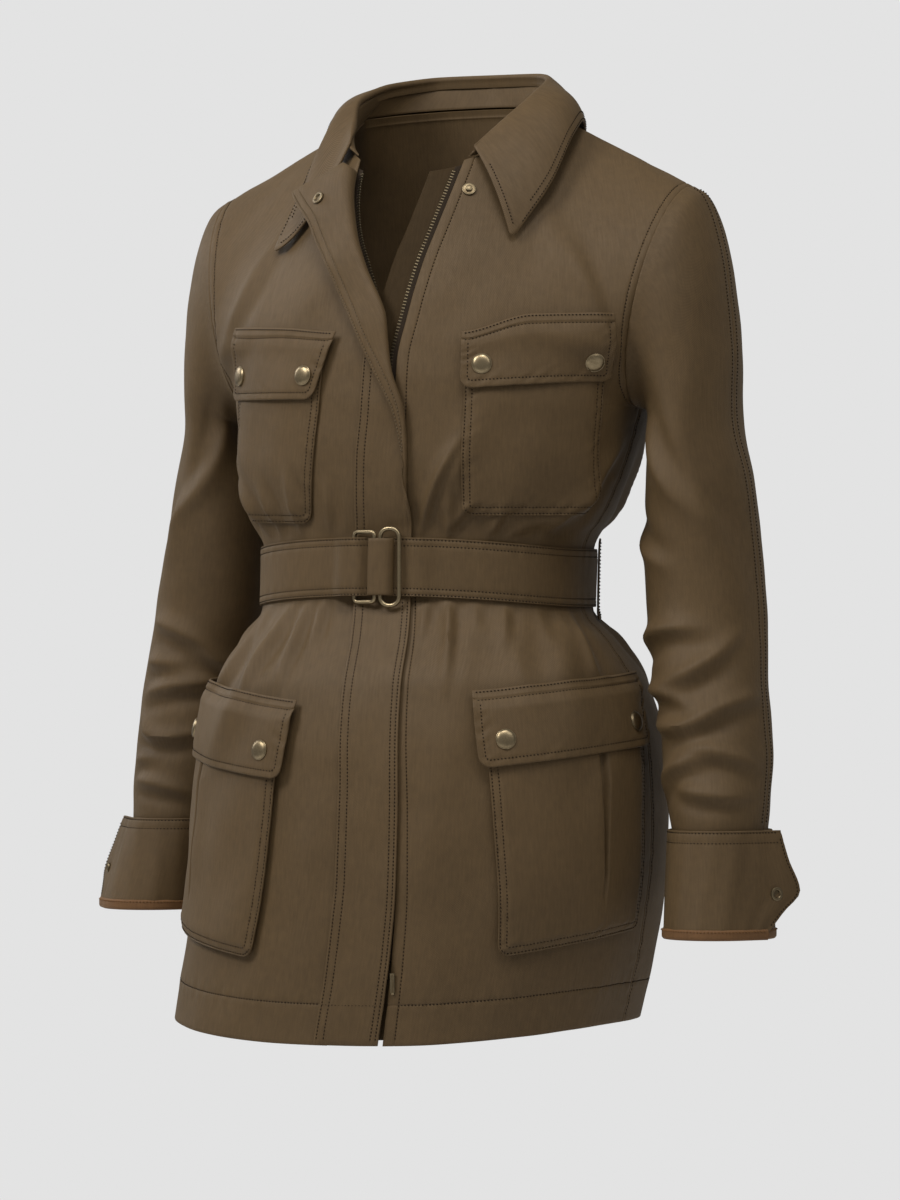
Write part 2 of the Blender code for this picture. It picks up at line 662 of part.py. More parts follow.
def make_pull():
    """The slider's pull, a slim plate with a round foot, hung from its pivot."""
    place, height, out = PULL_PIVOT
    pivot = skin(place, height, out)
    normal = outward(place, height, False)
    across = np.cross(np.array((0.0, 0.0, 1.0)), normal)
    across /= np.linalg.norm(across)
    down = np.cross(across, normal)
    down *= -math.copysign(1.0, down[2])
    outline = [(-1.0, -0.03), (1.0, -0.03), (1.0, 0.86), (0.6, 0.97), (0.0, 1.0), (-0.6, 0.97), (-1.0, 0.86)]
    points = []
    for face in (0.5, -0.5):
        for side, drop in outline:
            points.append(across * side * PULL_HALF_WIDTH + down * drop * PULL_LENGTH
                          + normal * face * PULL_THICKNESS)
    count = len(outline)
    faces = [tuple(range(count)), tuple(range(2 * count - 1, count - 1, -1))]
    faces += [(i, (i + 1) % count, (i + 1) % count + count, i + count) for i in range(count)]
    build("zip_pull", points, faces, "antique_brass").location = tuple(map(float, pivot))


def patch_place(patch, across, down):
    """Distance round and height of a point of a patch, from shares across and down it."""
    place = between(between(patch.in_top, patch.out_top, across),
                    between(patch.in_foot, patch.out_foot, across), down)
    height = between(between(patch.in_top_z, patch.out_top_z, across),
                     between(patch.in_foot_z, patch.out_foot_z, across), down)
    return place * patch.side, height


def corner_lift(across, down):
    """Rounds a patch's two lower corners by raising their last row."""
    edge = min(across, 1.0 - across)
    return CORNER_ROUND * (1.0 - ease(edge, 0.0, 0.11)) * ease(down, 0.85, 1.0)


def patch_wall(patch, downs, stand):
    """A patch's cloth on its panel, standing off by a height worked out from its shares."""
    outer, inner = [], []
    for down in downs:
        outside, within = [], []
        for across in PATCH_STEPS:
            place, height = patch_place(patch, across, down)
            height += corner_lift(across, down)
            out = PATCH_GAP + CLOTH + stand(across, down)
            outside.append(ring_skin(place, height, out))
            within.append(ring_skin(place, height, out - CLOTH))
        outer.append(outside)
        inner.append(within)
    wall(patch.name, outer, inner)


def pocket_stand(patch):
    def stand(across, down):
        edge = min(across, 1.0 - across, 1.0 - down)
        return patch.proud * ease(edge, 0.0, EDGE_ROLL)
    return stand


def flap_stand(patch):
    def stand(across, down):
        return PATCH_GAP + CLOTH + patch.proud * ease(down, 0.0, 0.30)
    return stand


def make_pockets():
    for patch in POCKETS:
        patch_wall(patch, POCKET_DROPS, pocket_stand(patch))
    for patch in FLAPS:
        patch_wall(patch, FLAP_DROPS, flap_stand(patch))


def snap(name, centre, normal, radius):
    """A domed snap cap on a face."""
    across = np.cross(normal, np.array((0.0, 0.0, 1.0)))
    across /= np.linalg.norm(across)
    up = np.cross(across, normal)
    profile = ((1.0, 0.0), (1.0, 0.45), (0.82, 0.82), (0.45, 1.0))
    points = []
    for wide, high in profile:
        for step in range(SNAP_SIDES):
            turn = 2 * math.pi * step / SNAP_SIDES
            points.append(centre + radius * wide * (across * math.cos(turn) + up * math.sin(turn))
                          + normal * high * SNAP_HEIGHT)
    faces = [tuple(range(SNAP_SIDES))]
    last = (len(profile) - 1) * SNAP_SIDES
    faces.append(tuple(range(last, last + SNAP_SIDES)))
    for level in range(len(profile) - 1):
        for step in range(SNAP_SIDES):
            a = level * SNAP_SIDES + step
            b = level * SNAP_SIDES + (step + 1) % SNAP_SIDES
            faces.append((a, b, b + SNAP_SIDES, a + SNAP_SIDES))
    build(name, points, faces, "antique_brass")


def make_snaps():
    for patch in FLAPS:
        for share, label in zip(SNAP_SHARES, ("inner", "outer")):
            place, height = patch_place(patch, share, SNAP_DROP)
            out = 2 * (PATCH_GAP + CLOTH) + patch.proud + LAY_GAP
            snap(patch.name.replace("flap", "snap") + "_" + label,
                 ring_skin(place, height, out), ring_outward(place, height), SNAP_RADIUS)
    row, outer = fly_row(FLY_SNAP[0]), row_reach(FLY_SNAP[0])
    lie = between(outer, row.width, FLY_SNAP[1])
    spot, inside = fly_point(row, lie, -1), fly_point(row, lie, 1)
    away = (spot - inside) / np.linalg.norm(spot - inside)
    snap("snap_fly_top", spot + away * LAY_GAP, away, SMALL_SNAP_RADIUS)
    place, height = 0.0530, -0.031
    snap("snap_front_top", skin(place, height, LAY_GAP), outward(place, height, False), SMALL_SNAP_RADIUS)


def collar_line(kind, share):
    """A point of the collar's fold line or edge; share runs from -1, right front, to 1, left front."""
    side = math.copysign(1.0, share)
    values = [smooth(COLLAR[side], kind + axis, abs(share)) for axis in ("_x", "_y", "_z")]
    return np.array(values) * np.array((side, 1.0, 1.0))


def leaf_point(share, down):
    fold, edge = collar_line("fold", share), collar_line("edge", share)
    inward = np.array((-fold[0], -fold[1], 0.0))
    lift = np.array((0.0, 0.0, COLLAR_CROWN)) - inward / np.linalg.norm(inward) * COLLAR_CROWN
    crown = (fold + edge) / 2 + between(lift, np.array(RIGHT_END_CROWN), ease(-share, 0.8, 1.0))
    return fold * (1 - down) ** 2 + crown * 2 * down * (1 - down) + edge * down ** 2


def grid_normals(grid):
    """Directions square to a net of points, at each of its points."""
    along = np.gradient(grid, axis=1)
    down = np.gradient(grid, axis=0)
    normals = np.cross(along, down)
    return normals / np.linalg.norm(normals, axis=2, keepdims=True)


def neck_edge(share):
    """The panels' neckline, from -1, right front, over the back, 0, to 1, left front."""
    side = math.copysign(1.0, share)
    amount = abs(share)
    if amount <= 0.5:
        row, run = half_row(0.0, True)
        neck = run[int(round(NECK_SHARE * (ROW_SAMPLES - 1)))]
        return skin(side * neck * amount / 0.5, 0.0, 0.0, True)
    row, run = half_row(0.0, False)
    neck = run[int(round(NECK_SHARE * (ROW_SAMPLES - 1)))]
    front = abs(smooth(FRONT_EDGES, "left" if side > 0 else "right", 0.0)) + 0.004
    return skin(side * between(neck, front, (amount - 0.5) / 0.5), 0.0)


def make_collar():
    shares = np.linspace(-1.0, 1.0, 2 * COLLAR_HALF_COLUMNS + 1)
    leaf = np.array([[leaf_point(share, down) for share in shares]
                     for down in np.linspace(0.0, 1.0, COLLAR_ROWS)])
    normals = grid_normals(leaf)
    if normals[2, COLLAR_HALF_COLUMNS][1] < 0:
        normals = -normals
    wall("collar_leaf", leaf, leaf - normals * DOUBLE_CLOTH)
    stand = []
    for up in np.linspace(0.0, 1.0, STAND_ROWS):
        row = []
        for share in shares:
            foot = neck_edge(share) + np.array((0.0, 0.0, 2.5 * SEAM_GAP))
            head = collar_line("fold", share) - np.array((0.0, 0.0, 3.0 * DOUBLE_CLOTH))
            row.append(between(foot, head, up))
        stand.append(row)
    stand = np.array(stand)
    normals = grid_normals(stand)
    if normals[1, COLLAR_HALF_COLUMNS][1] < 0:
        normals = -normals
    wall("collar_stand", stand, stand - normals * CLOTH)


def sleeve_ring(label, turns, step):
    """One ring of a sleeve. The first rings fan round from the armhole, the rest follow the arm."""
    sign, rows = SLEEVES[label]
    foot = lower_row(ARMPIT, False)[-1]
    share_down = min(step / CAP_STEPS, 1.0)
    lean = smooth(BODY, "lean_x", ARMPIT) * sign
    away = armhole_normal(1) * SEAM_GAP * 1.5
    points = []
    if step <= CAP_STEPS:
        swing = math.pi / 2 * step / CAP_STEPS
        low = foot + np.array((lean, 0.0, 0.0)) + away
        low += UNDERARM_RADIUS * np.array((math.sin(swing), 0.0, math.cos(swing) - 1.0))
        low[1] = between(foot[1], rows[0].y, share_down)
        high = np.array((SHOULDER_TIP[0] + CAP_OUT[label] * math.sin(swing),
                         between(SHOULDER_TIP[1], rows[0].y, share_down),
                         CAP_FOOT + (SHOULDER_TIP[2] - CAP_FOOT) * math.cos(swing))) + away
        for turn in turns:
            depth = ARMHOLE_FRONT_DEPTH if math.sin(turn) > 0 else ARMHOLE_BACK_DEPTH
            point = between(low, high, (1 - math.cos(turn)) / 2)
            point[1] -= between(depth, rows[0].half_y, share_down) * math.sin(turn)
            points.append(point)
    else:
        first = CAP_FOOT - UNDERARM_RADIUS
        height = between(first, rows[-1].height, (step - CAP_STEPS) / SLEEVE_ROWS)
        height = min(max(height, rows[-1].height), first)
        ordered = rows[::-1]
        x, y, half_x, half_y = (smooth(ordered, column, height) for column in Arm._fields[1:])
        for turn in turns:
            points.append(np.array((x - half_x * math.cos(turn), y - half_y * math.sin(turn), height)))
    return np.array(points) * np.array((sign, 1.0, 1.0))


def make_sleeves():
    ring = [2 * math.pi * step / (2 * ARMHOLE_STEPS) for step in range(2 * ARMHOLE_STEPS)]
    for label, (sign, _) in SLEEVES.items():
        steps = range(CAP_STEPS + SLEEVE_ROWS + 1)
        tube = np.array([sleeve_ring(label, ring, step) for step in steps])
        looped = np.concatenate((tube[:, -1:], tube, tube[:, :1]), axis=1)
        normals = grid_normals(looped)[:, 1:-1]
        centre = tube.mean(axis=1, keepdims=True)
        if ((tube - centre) * normals).sum() < 0:
            normals = -normals
        inside = tube - normals * CLOTH
        inside[0] = keep_in_plane(tube[0], inside[0], armhole_normal(sign))
        half = ARMHOLE_STEPS
        for piece, columns in (("front", range(half + 1)), ("back", range(half, 2 * half + 1))):
            outer = tube.take(columns, axis=1, mode="wrap").copy()
            inner = inside.take(columns, axis=1, mode="wrap").copy()
            for edge, neighbour in ((0, 1), (-1, -2)):
                away = outer[:, neighbour] - outer[:, edge]
                away *= SEAM_GAP / 2 / np.linalg.norm(away, axis=1, keepdims=True)
                outer[:, edge] += away
                inner[:, edge] += away
            wall("sleeve_%s_%s" % (label, piece), outer, inner)


def cuff_path(label, drop, column, length):
    """A point of a cuff's outer face and its outward direction, by share down and column along."""
    cuff = CUFFS[label]
    sign, rows = SLEEVES[label]
    x = between(smooth(rows[::-1], "x", cuff.top), cuff.foot_x, drop)
    y = between(smooth(rows[::-1], "y", cuff.top), cuff.foot_y, drop)
    height = between(cuff.top, cuff.foot, drop)
    half_x = between(CUFF_TOP_HALF[0], CUFF_FOOT_HALF[0], drop)
    half_y = between(CUFF_TOP_HALF[1], CUFF_FOOT_HALF[1], drop)
    share = min(column / CUFF_COLUMNS, 1.0)
    turn = math.radians(between(CUFF_UNDERLAP_TURN, CUFF_LEAVING_TURN, share))
    point = np.array((x - half_x * math.cos(turn), y - half_y * math.sin(turn), height))
    out = np.array((-math.cos(turn) / half_x, -math.sin(turn) / half_y, 0.0))
    out /= np.linalg.norm(out)
    if column > CUFF_COLUMNS:
        along = np.array((-out[1], out[0], 0.0))
        point = point + along * length * (column - CUFF_COLUMNS) / TAB_COLUMNS
    flip = np.array((sign, 1.0, 1.0))
    return point * flip, out * flip


def tab_length(drop):
    return smooth(TAB_END, "length", drop)


def make_cuffs():
    columns = range(CUFF_COLUMNS + TAB_COLUMNS + 1)
    for label in CUFFS:
        outer, inner = [], []
        for drop in np.linspace(0.0, 1.0, CUFF_ROWS):
            pairs = [cuff_path(label, drop, column, tab_length(drop)) for column in columns]
            outer.append([point for point, out in pairs])
            inner.append([point - out * DOUBLE_CLOTH for point, out in pairs])
        wall("cuff_" + label, outer, inner)
        outer, inner = [], []
        pairs = [cuff_path(label, 1.0, column, tab_length(1.0)) for column in columns]
        for drop in (SEAM_GAP, SEAM_GAP + BINDING_HEIGHT):
            below = np.array((0.0, 0.0, -drop))
            outer.append([point + out * BINDING_PROUD + below for point, out in pairs])
            inner.append([point - out * (DOUBLE_CLOTH + BINDING_PROUD) + below for point, out in pairs])
        wall("cuff_binding_" + label, outer, inner, "brown_binding")
        drop, along = TAB_SNAP
        centre, out = cuff_path(label, drop, CUFF_COLUMNS + TAB_COLUMNS * along, tab_length(drop))
        snap("snap_cuff_" + label, centre + out * TAB_SNAP_GAP, out, SMALL_SNAP_RADIUS)


def belt_out(distance):
    """How far the belt's inner face stands off the cloth: it climbs over the fly and a ring."""
    over_fly = (ease(distance, BELT_FLY_REACH[0] - BELT_EASE, BELT_FLY_REACH[0])
                * (1 - ease(distance, BELT_FLY_REACH[1], BELT_FLY_REACH[1] + BELT_EASE)))
    over_ring = (ease(distance, BELT_RING_REACH[0] - BELT_EASE, BELT_RING_REACH[0])
                 * (1 - ease(distance, BELT_RING_REACH[1], BELT_RING_REACH[1] + BELT_EASE / 2)))
    return LAY_GAP + BELT_OVER_FLY * over_fly + (BELT_OVER_RING - BELT_OVER_FLY) * over_ring


def make_belt():
    girth = 2 * (reach(BELT_MIDDLE) + reach(BELT_MIDDLE, True))
    even = np.linspace(-0.5, 0.5, BELT_COLUMNS, endpoint=False) * girth
    near = np.linspace(BELT_RING_REACH[0] - BELT_EASE, BELT_FLY_REACH[1] + BELT_EASE, BELT_NEAR_COLUMNS)
    far = even[(even < near[0] - 0.004) | (even > near[-1] + 0.004)]
    distances = np.sort(np.concatenate((far, near)))
    outer, inner = [], []
    for height in (BELT_FOOT, BELT_MIDDLE, BELT_TOP):
        outer.append([ring_skin(d, height, belt_out(d) + BELT_CLOTH) for d in distances])
        inner.append([ring_skin(d, height, belt_out(d)) for d in distances])
    wall("belt", outer, inner, closed=True)
    make_keeper()
    for ring in RINGS:
        make_ring(ring, BELT_MIDDLE)
    for name, place in LOOP_PLACES.items():
        make_loop(name, place)


def make_keeper():
    """The short cloth piece that holds both rings' bars down on the belt."""
    path = ((KEEPER_ENDS[0], KEEPER_FOOT), (KEEPER_ENDS[0] + 0.0014, KEEPER_INNER - 0.0012),
            (KEEPER_FLAT[0], KEEPER_INNER), (KEEPER_FLAT[1], KEEPER_INNER),
            (KEEPER_ENDS[1] - 0.0020, KEEPER_INNER - 0.0014), (KEEPER_ENDS[1], KEEPER_FOOT))
    outer, inner = [], []
    for height in np.linspace(BELT_FOOT + KEEPER_INSET, BELT_TOP - KEEPER_INSET, 3):
        line = np.array([skin(place, height, out) for place, out in path])
        lean = np.gradient(np.array(path), axis=0)
        outside = []
        for (place, out), (across, up) in zip(path, lean):
            size = math.hypot(across, up)
            outside.append(skin(place - up / size * CLOTH, height, out + across / size * CLOTH))
        outer.append(outside)
        inner.append(line)
    wall("belt_keeper", outer, inner)


def make_ring(ring, middle):
    """A wire ring: a rounded rectangle of wire that leans between its two bars."""
    half = (ring.far - ring.near) / 2
    centre = (ring.far + ring.near) / 2
    corner = RING_CORNER
    path = []
    for turn_x, turn_z, first in ((1, 1, 0.0), (-1, 1, 90.0), (-1, -1, 180.0), (1, -1, 270.0)):
        for step in (0.0, 30.0, 60.0, 90.0):
            angle = math.radians(first + step)
            path.append((turn_x * (half - corner) + corner * math.cos(angle),
                         turn_z * (ring.half_height - corner) + corner * math.sin(angle)))
    line = []
    for across, up in path:
        out = between(ring.near_out, ring.far_out, (across + half) / (2 * half))
        line.append(skin(centre + across, middle, out) + np.array((0.0, 0.0, up)))
    line = np.array(line)
    ahead = np.roll(line, -1, axis=0) - np.roll(line, 1, axis=0)
    normal = outward(centre, middle, False)
    points, count = [], len(line)
    for point, direction in zip(line, ahead):
        direction = direction / np.linalg.norm(direction)
        side = np.cross(direction, normal)
        side /= np.linalg.norm(side)
        lift = np.cross(side, direction)
        for step in range(RING_SIDES):
            angle = 2 * math.pi * step / RING_SIDES
            points.append(point + RING_WIRE * (side * math.cos(angle) + lift * math.sin(angle)))
    faces = []
    for index in range(count):
        for step in range(RING_SIDES):
            a = index * RING_SIDES + step
            b = index * RING_SIDES + (step + 1) % RING_SIDES
            c = ((index + 1) % count) * RING_SIDES
            faces.append((a, b, c + (step + 1) % RING_SIDES, c + step))
    build(ring.name, points, faces, "antique_brass")


def make_loop(name, place):
    """A belt loop at the side, sewn above and below the belt."""
    heights = (LOOP_FOOT, BELT_FOOT - 0.0015, BELT_MIDDLE, BELT_TOP + 0.0015, LOOP_TOP)
    outer, inner = [], []
    for height, out in zip(heights, LOOP_OFFSETS):
        places = (place - LOOP_HALF_WIDTH, place + LOOP_HALF_WIDTH)
        outer.append([ring_skin(d, height, out + CLOTH) for d in places])
        inner.append([ring_skin(d, height, out) for d in places])
    wall(name, outer, inner)


def main():
    clear_scene()
    make_panels()
    make_fly()
    make_zip()
    make_pockets()
    make_snaps()
    make_collar()
    make_sleeves()
    make_cuffs()
    make_belt()


main()
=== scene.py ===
"""Dresses the belted cotton jacket: cloth shells with their creases, sewing,
zip, snaps, rings and a plain studio."""
import math
from collections import namedtuple

import bmesh
import bpy
import numpy as np
from bpy.props import FloatProperty, FloatVectorProperty, PointerProperty
from mathutils import Matrix, Vector


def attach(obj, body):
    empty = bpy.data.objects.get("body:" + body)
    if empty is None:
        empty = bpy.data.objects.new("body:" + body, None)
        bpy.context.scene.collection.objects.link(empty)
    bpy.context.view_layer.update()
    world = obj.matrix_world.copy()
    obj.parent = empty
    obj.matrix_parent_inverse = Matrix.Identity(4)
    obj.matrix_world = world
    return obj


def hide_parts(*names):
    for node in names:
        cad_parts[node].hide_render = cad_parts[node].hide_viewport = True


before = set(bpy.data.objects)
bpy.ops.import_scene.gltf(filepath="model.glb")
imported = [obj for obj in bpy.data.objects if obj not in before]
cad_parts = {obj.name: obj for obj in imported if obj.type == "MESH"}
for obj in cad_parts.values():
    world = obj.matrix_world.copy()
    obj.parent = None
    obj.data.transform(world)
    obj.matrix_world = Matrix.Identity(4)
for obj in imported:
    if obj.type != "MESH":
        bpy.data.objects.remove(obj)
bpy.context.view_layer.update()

bl_info = {
    "name": "Belted Cotton Jacket",
    "version": (1, 0, 0),
    "blender": (4, 5, 0),
    "location": "3D View > Sidebar > Jacket",
    "description": "Dresses a jacket's frame with sewn cotton, a zip, snaps and a belt",
    "category": "Object",
}

# Cloth and gaps, in metres
CLOTH = 0.0016
DOUBLE_CLOTH = 0.0019
SEAM_GAP = 0.0004
LAY_GAP = 0.0005
EDGE_INSET = 0.0008
EDGE_PINCH = 0.45

# Angles past which an edge stays sharp, in degrees
CLOTH_SHARP = 55
METAL_SHARP = 30
SNAP_SHARP = 40
WIRE_SHARP = 60

# Heights that the pieces share
ARMPIT = -0.225
BELT_TOP = -0.330
BELT_FOOT = -0.374
BELT_MIDDLE = (BELT_TOP + BELT_FOOT) / 2
HEM = -0.684

# The body's rounded section by height
SQUARENESS = 2.35
ROW_SAMPLES = 97
HALF_SHARES = 60
Section = namedtuple("Section", "height half_width front back lean_x lean_y front_lift")
BODY = (
    Section(HEM, 0.1760, 0.1490, 0.1450, -0.0290, -0.0140, -0.013),
    Section(-0.620, 0.1780, 0.1500, 0.1460, -0.0160, -0.0140, -0.012),
    Section(-0.560, 0.1780, 0.1500, 0.1450, -0.0080, -0.0140, -0.010),
    Section(-0.480, 0.1730, 0.1470, 0.1420, -0.0050, -0.0140, -0.008),
    Section(-0.430, 0.1600, 0.1350, 0.1310, -0.0050, -0.0150, -0.003),
    Section(-0.400, 0.1430, 0.1125, 0.1100, -0.0070, -0.0170, 0.003),
    Section(BELT_FOOT, 0.1262, 0.0975, 0.0960, -0.0105, -0.0180, 0.008),
    Section(BELT_TOP, 0.1262, 0.0975, 0.0960, -0.0095, -0.0180, 0.008),
    Section(-0.300, 0.1400, 0.1075, 0.1030, -0.0070, -0.0140, 0.006),
    Section(-0.262, 0.1525, 0.1170, 0.1080, -0.0050, -0.0080, 0.002),
    Section(ARMPIT, 0.1600, 0.1220, 0.1100, -0.0030, -0.0030, 0.000),
)
LOWER_STEPS = 146
ARMHOLE_STEPS = 54
SURFACE_ROWS = (190, 90)
EVEN_PASSES = 100
EVEN_UNTIL = 0.72
LEVEL_PASSES = 90
LEVEL_REACH = 0.045
LEVEL_SHARES = (0.6, 0.92)

# Neck and shoulder points of the left half
NECK_SIDE = np.array((0.078, 0.014, 0.000))
SHOULDER_TIP = np.array((0.190, 0.020, -0.058))
NECK_FRONT = np.array((0.000, -0.078, -0.046))
NECK_BACK = np.array((0.000, 0.078, 0.010))
NECK_SHARE = 0.46
ARMHOLE_FRONT_DEPTH = 0.062
ARMHOLE_BACK_DEPTH = 0.058
RISE_POWER = 1.9
ARMHOLE_POWER = 3.0
ARMHOLE_FOOT_POWER = 9.0
ARMHOLE_FOOT_RISE = 0.25

# Largest folds, as in the solids
Fold = namedtuple("Fold", "place height lean half_width half_height depth")
FRONT_FOLDS = (
    Fold(0.150, -0.405, -0.20, 0.017, 0.050, 0.0060),
    Fold(0.072, -0.410, -0.05, 0.015, 0.045, 0.0040),
    Fold(-0.100, -0.410, 0.20, 0.016, 0.055, 0.0055),
    Fold(-0.155, -0.405, 0.35, 0.017, 0.050, 0.0060),
    Fold(0.165, -0.288, 0.15, 0.020, 0.032, 0.0060),
    Fold(0.060, -0.285, 0.25, 0.015, 0.040, 0.0040),
    Fold(-0.125, -0.285, -0.20, 0.018, 0.036, 0.0055),
)
BACK_FOLDS = (
    Fold(0.000, -0.405, 0.00, 0.017, 0.050, 0.0050),
    Fold(0.075, -0.410, -0.15, 0.018, 0.055, 0.0060),
    Fold(-0.082, -0.408, 0.15, 0.018, 0.050, 0.0060),
    Fold(0.050, -0.285, 0.10, 0.018, 0.040, 0.0060),
    Fold(-0.048, -0.287, -0.10, 0.018, 0.036, 0.0055),
    Fold(0.125, -0.288, 0.10, 0.018, 0.034, 0.0055),
    Fold(-0.128, -0.286, -0.10, 0.018, 0.034, 0.0055),
)
BELT_HOLD = 0.030

# Smaller creases, in millimetres: the angle leans from upright, a ridge has a shallow trough beside it
Crease = namedtuple("Crease", "place height angle half_length half_width depth bend")


def creases(*rows):
    """A table of creases in metres, from rows in millimetres."""
    return [Crease(place / 1000, height / 1000, angle, *(size / 1000 for size in sizes), bend)
            for place, height, angle, *sizes, bend in rows]


FRONT_CREASES = creases(
    (47, -290, 20, 56, 3.4, 4.4, 0.1),
    (52, -284, 22, 50, 9, 3, 0.1),
    (58, -314, 0, 24, 4, 4, 0.0),
    (66, -312, 35, 24, 4, 3.4, 0.0),
    (92, -316, 28, 26, 4.5, 3.8, 0.1),
    (118, -314, 66, 46, 7.5, 4.6, 0.3),
    (150, -302, 52, 50, 8, 5.6, 0.2),
    (182, -272, 46, 52, 8, 5, 0.2),
    (-40, -306, -8, 30, 4.5, 3, 0.0),
    (-70, -302, -14, 38, 5, 4.4, 0.0),
    (-96, -306, -24, 34, 5, 4, -0.1),
    (-122, -300, -36, 46, 6, 4.6, -0.1),
    (-150, -304, -20, 30, 5.5, 4.2, 0.0),
    (-168, -268, -46, 50, 7.5, 4.4, 0.0),
    (61, -398, -8, 46, 4.5, 4.6, 0.0),
    (41, -386, 6, 20, 4.2, 2.6, 0.0),
    (79, -384, -12, 16, 4.5, 1.4, 0.0),
    (101, -390, -4, 24, 5, 2.8, 0.0),
    (131, -388, -22, 22, 6, 1.8, 0.1),
    (150, -386, -28, 18, 5, 1.4, 0.0),
    (172, -404, -34, 46, 6, 4.6, 0.1),
    (118, -420, -30, 40, 11, 3, 0.2),
    (-46, -388, 10, 24, 4.5, 3.4, 0.0),
    (-66, -398, 20, 44, 5, 4.2, 0.1),
    (-92, -404, 32, 54, 5.5, 4.6, 0.1),
    (-110, -390, 24, 24, 5, 2, 0.0),
    (-136, -412, 42, 54, 6, 4.6, -0.1),
    (-160, -394, 40, 28, 5.5, 2.6, 0.0),
    (-112, -452, 36, 60, 12, 3, 0.1),
    (158, -130, -22, 66, 10, 3.6, 0.1),
    (135, -100, -34, 50, 11, 2.4, 0.1),
    (-150, -130, 22, 66, 10, 3.6, -0.1),
    (-60, -120, 30, 70, 14, 2, 0.1),
    (60, -555, 4, 110, 22, 2.8, 0.0),
    (-32, -560, -5, 110, 24, 2.6, 0.0),
    (75, -640, 10, 60, 20, 2.2, 0.0),
)
BACK_CREASES = creases(
    (30, -402, -8, 46, 5, 4.4, 0.0),
    (6, -388, 4, 24, 4.5, 3.4, 0.0),
    (-40, -400, 10, 42, 5, 4.2, 0.1),
    (62, -388, -14, 22, 4.5, 2.2, 0.0),
    (-68, -388, 16, 22, 5, 2.4, 0.0),
    (115, -404, -24, 48, 5.5, 4.6, 0.0),
    (-118, -406, 26, 52, 5.5, 4.6, -0.1),
    (155, -404, -36, 46, 6, 4.2, 0.0),
    (-150, -394, 34, 34, 5.5, 4, 0.0),
    (14, -304, 6, 34, 5, 4.2, 0.0),
    (52, -310, 14, 28, 4.5, 3.6, 0.0),
    (88, -302, 22, 44, 5.5, 4.6, 0.1),
    (124, -308, 34, 36, 5.5, 4.2, 0.0),
    (-20, -308, -6, 28, 4.5, 3.6, 0.0),
    (-58, -306, -16, 36, 5, 4.2, 0.0),
    (-95, -302, -24, 44, 5.5, 4.6, 0.0),
    (150, -272, 44, 54, 8, 4.8, 0.1),
    (-152, -270, -44, 54, 8, 4.8, -0.1),
    (140, -150, -24, 75, 11, 3.8, 0.1),
    (-140, -150, 24, 75, 11, 3.8, -0.1),
    (60, -560, 4, 110, 22, 2.8, 0.0),
    (-60, -560, -4, 110, 22, 2.8, 0.0),
    (10, -610, 2, 80, 24, 2.2, 0.0),
)
SEAM_FADE = 0.022
CREASE_HOLD = 0.005
CREASE_POWER = 1.5
TROUGH_DEPTH = 0.55
TROUGH_PLACE = 1.6
TROUGH_SPREAD = 1.1

# Faint ripples: each wave's share, its counts across and up, and where it starts
RIPPLE = 0.00022
RIPPLE_WAVES = ((1.0, 91, 37, 0.0), (1.0, -63, 84, 1.3), (0.7, 149, -58, 0.4), (0.5, 47, 171, 2.1))

# Rows of stitches: the dip and puckers that they pull in, a stitch's form, and distances from the edges
GROOVE_DEPTH = 0.0005
GROOVE_WIDTH = 0.0006
PUCKER = 0.00026
PUCKER_REACH = 0.0065
PUCKER_WAVES = ((1.0, 560, 0.0), (0.7, 383, 1.1))
STITCH_SHARES = (0.0, 0.24, 0.76, 1.0)
STITCH_SUNK = 0.4
STITCH_CROWN = 0.75
HEM_ROW = 0.030
FRONT_ROW = 0.009
ARMHOLE_ROW = 0.0055
SIDE_ROW = 0.004
SHOULDER_ROW = 0.0055
ROW_NEAR = (-0.0013, -0.0006, 0.0, 0.0006, 0.0013)

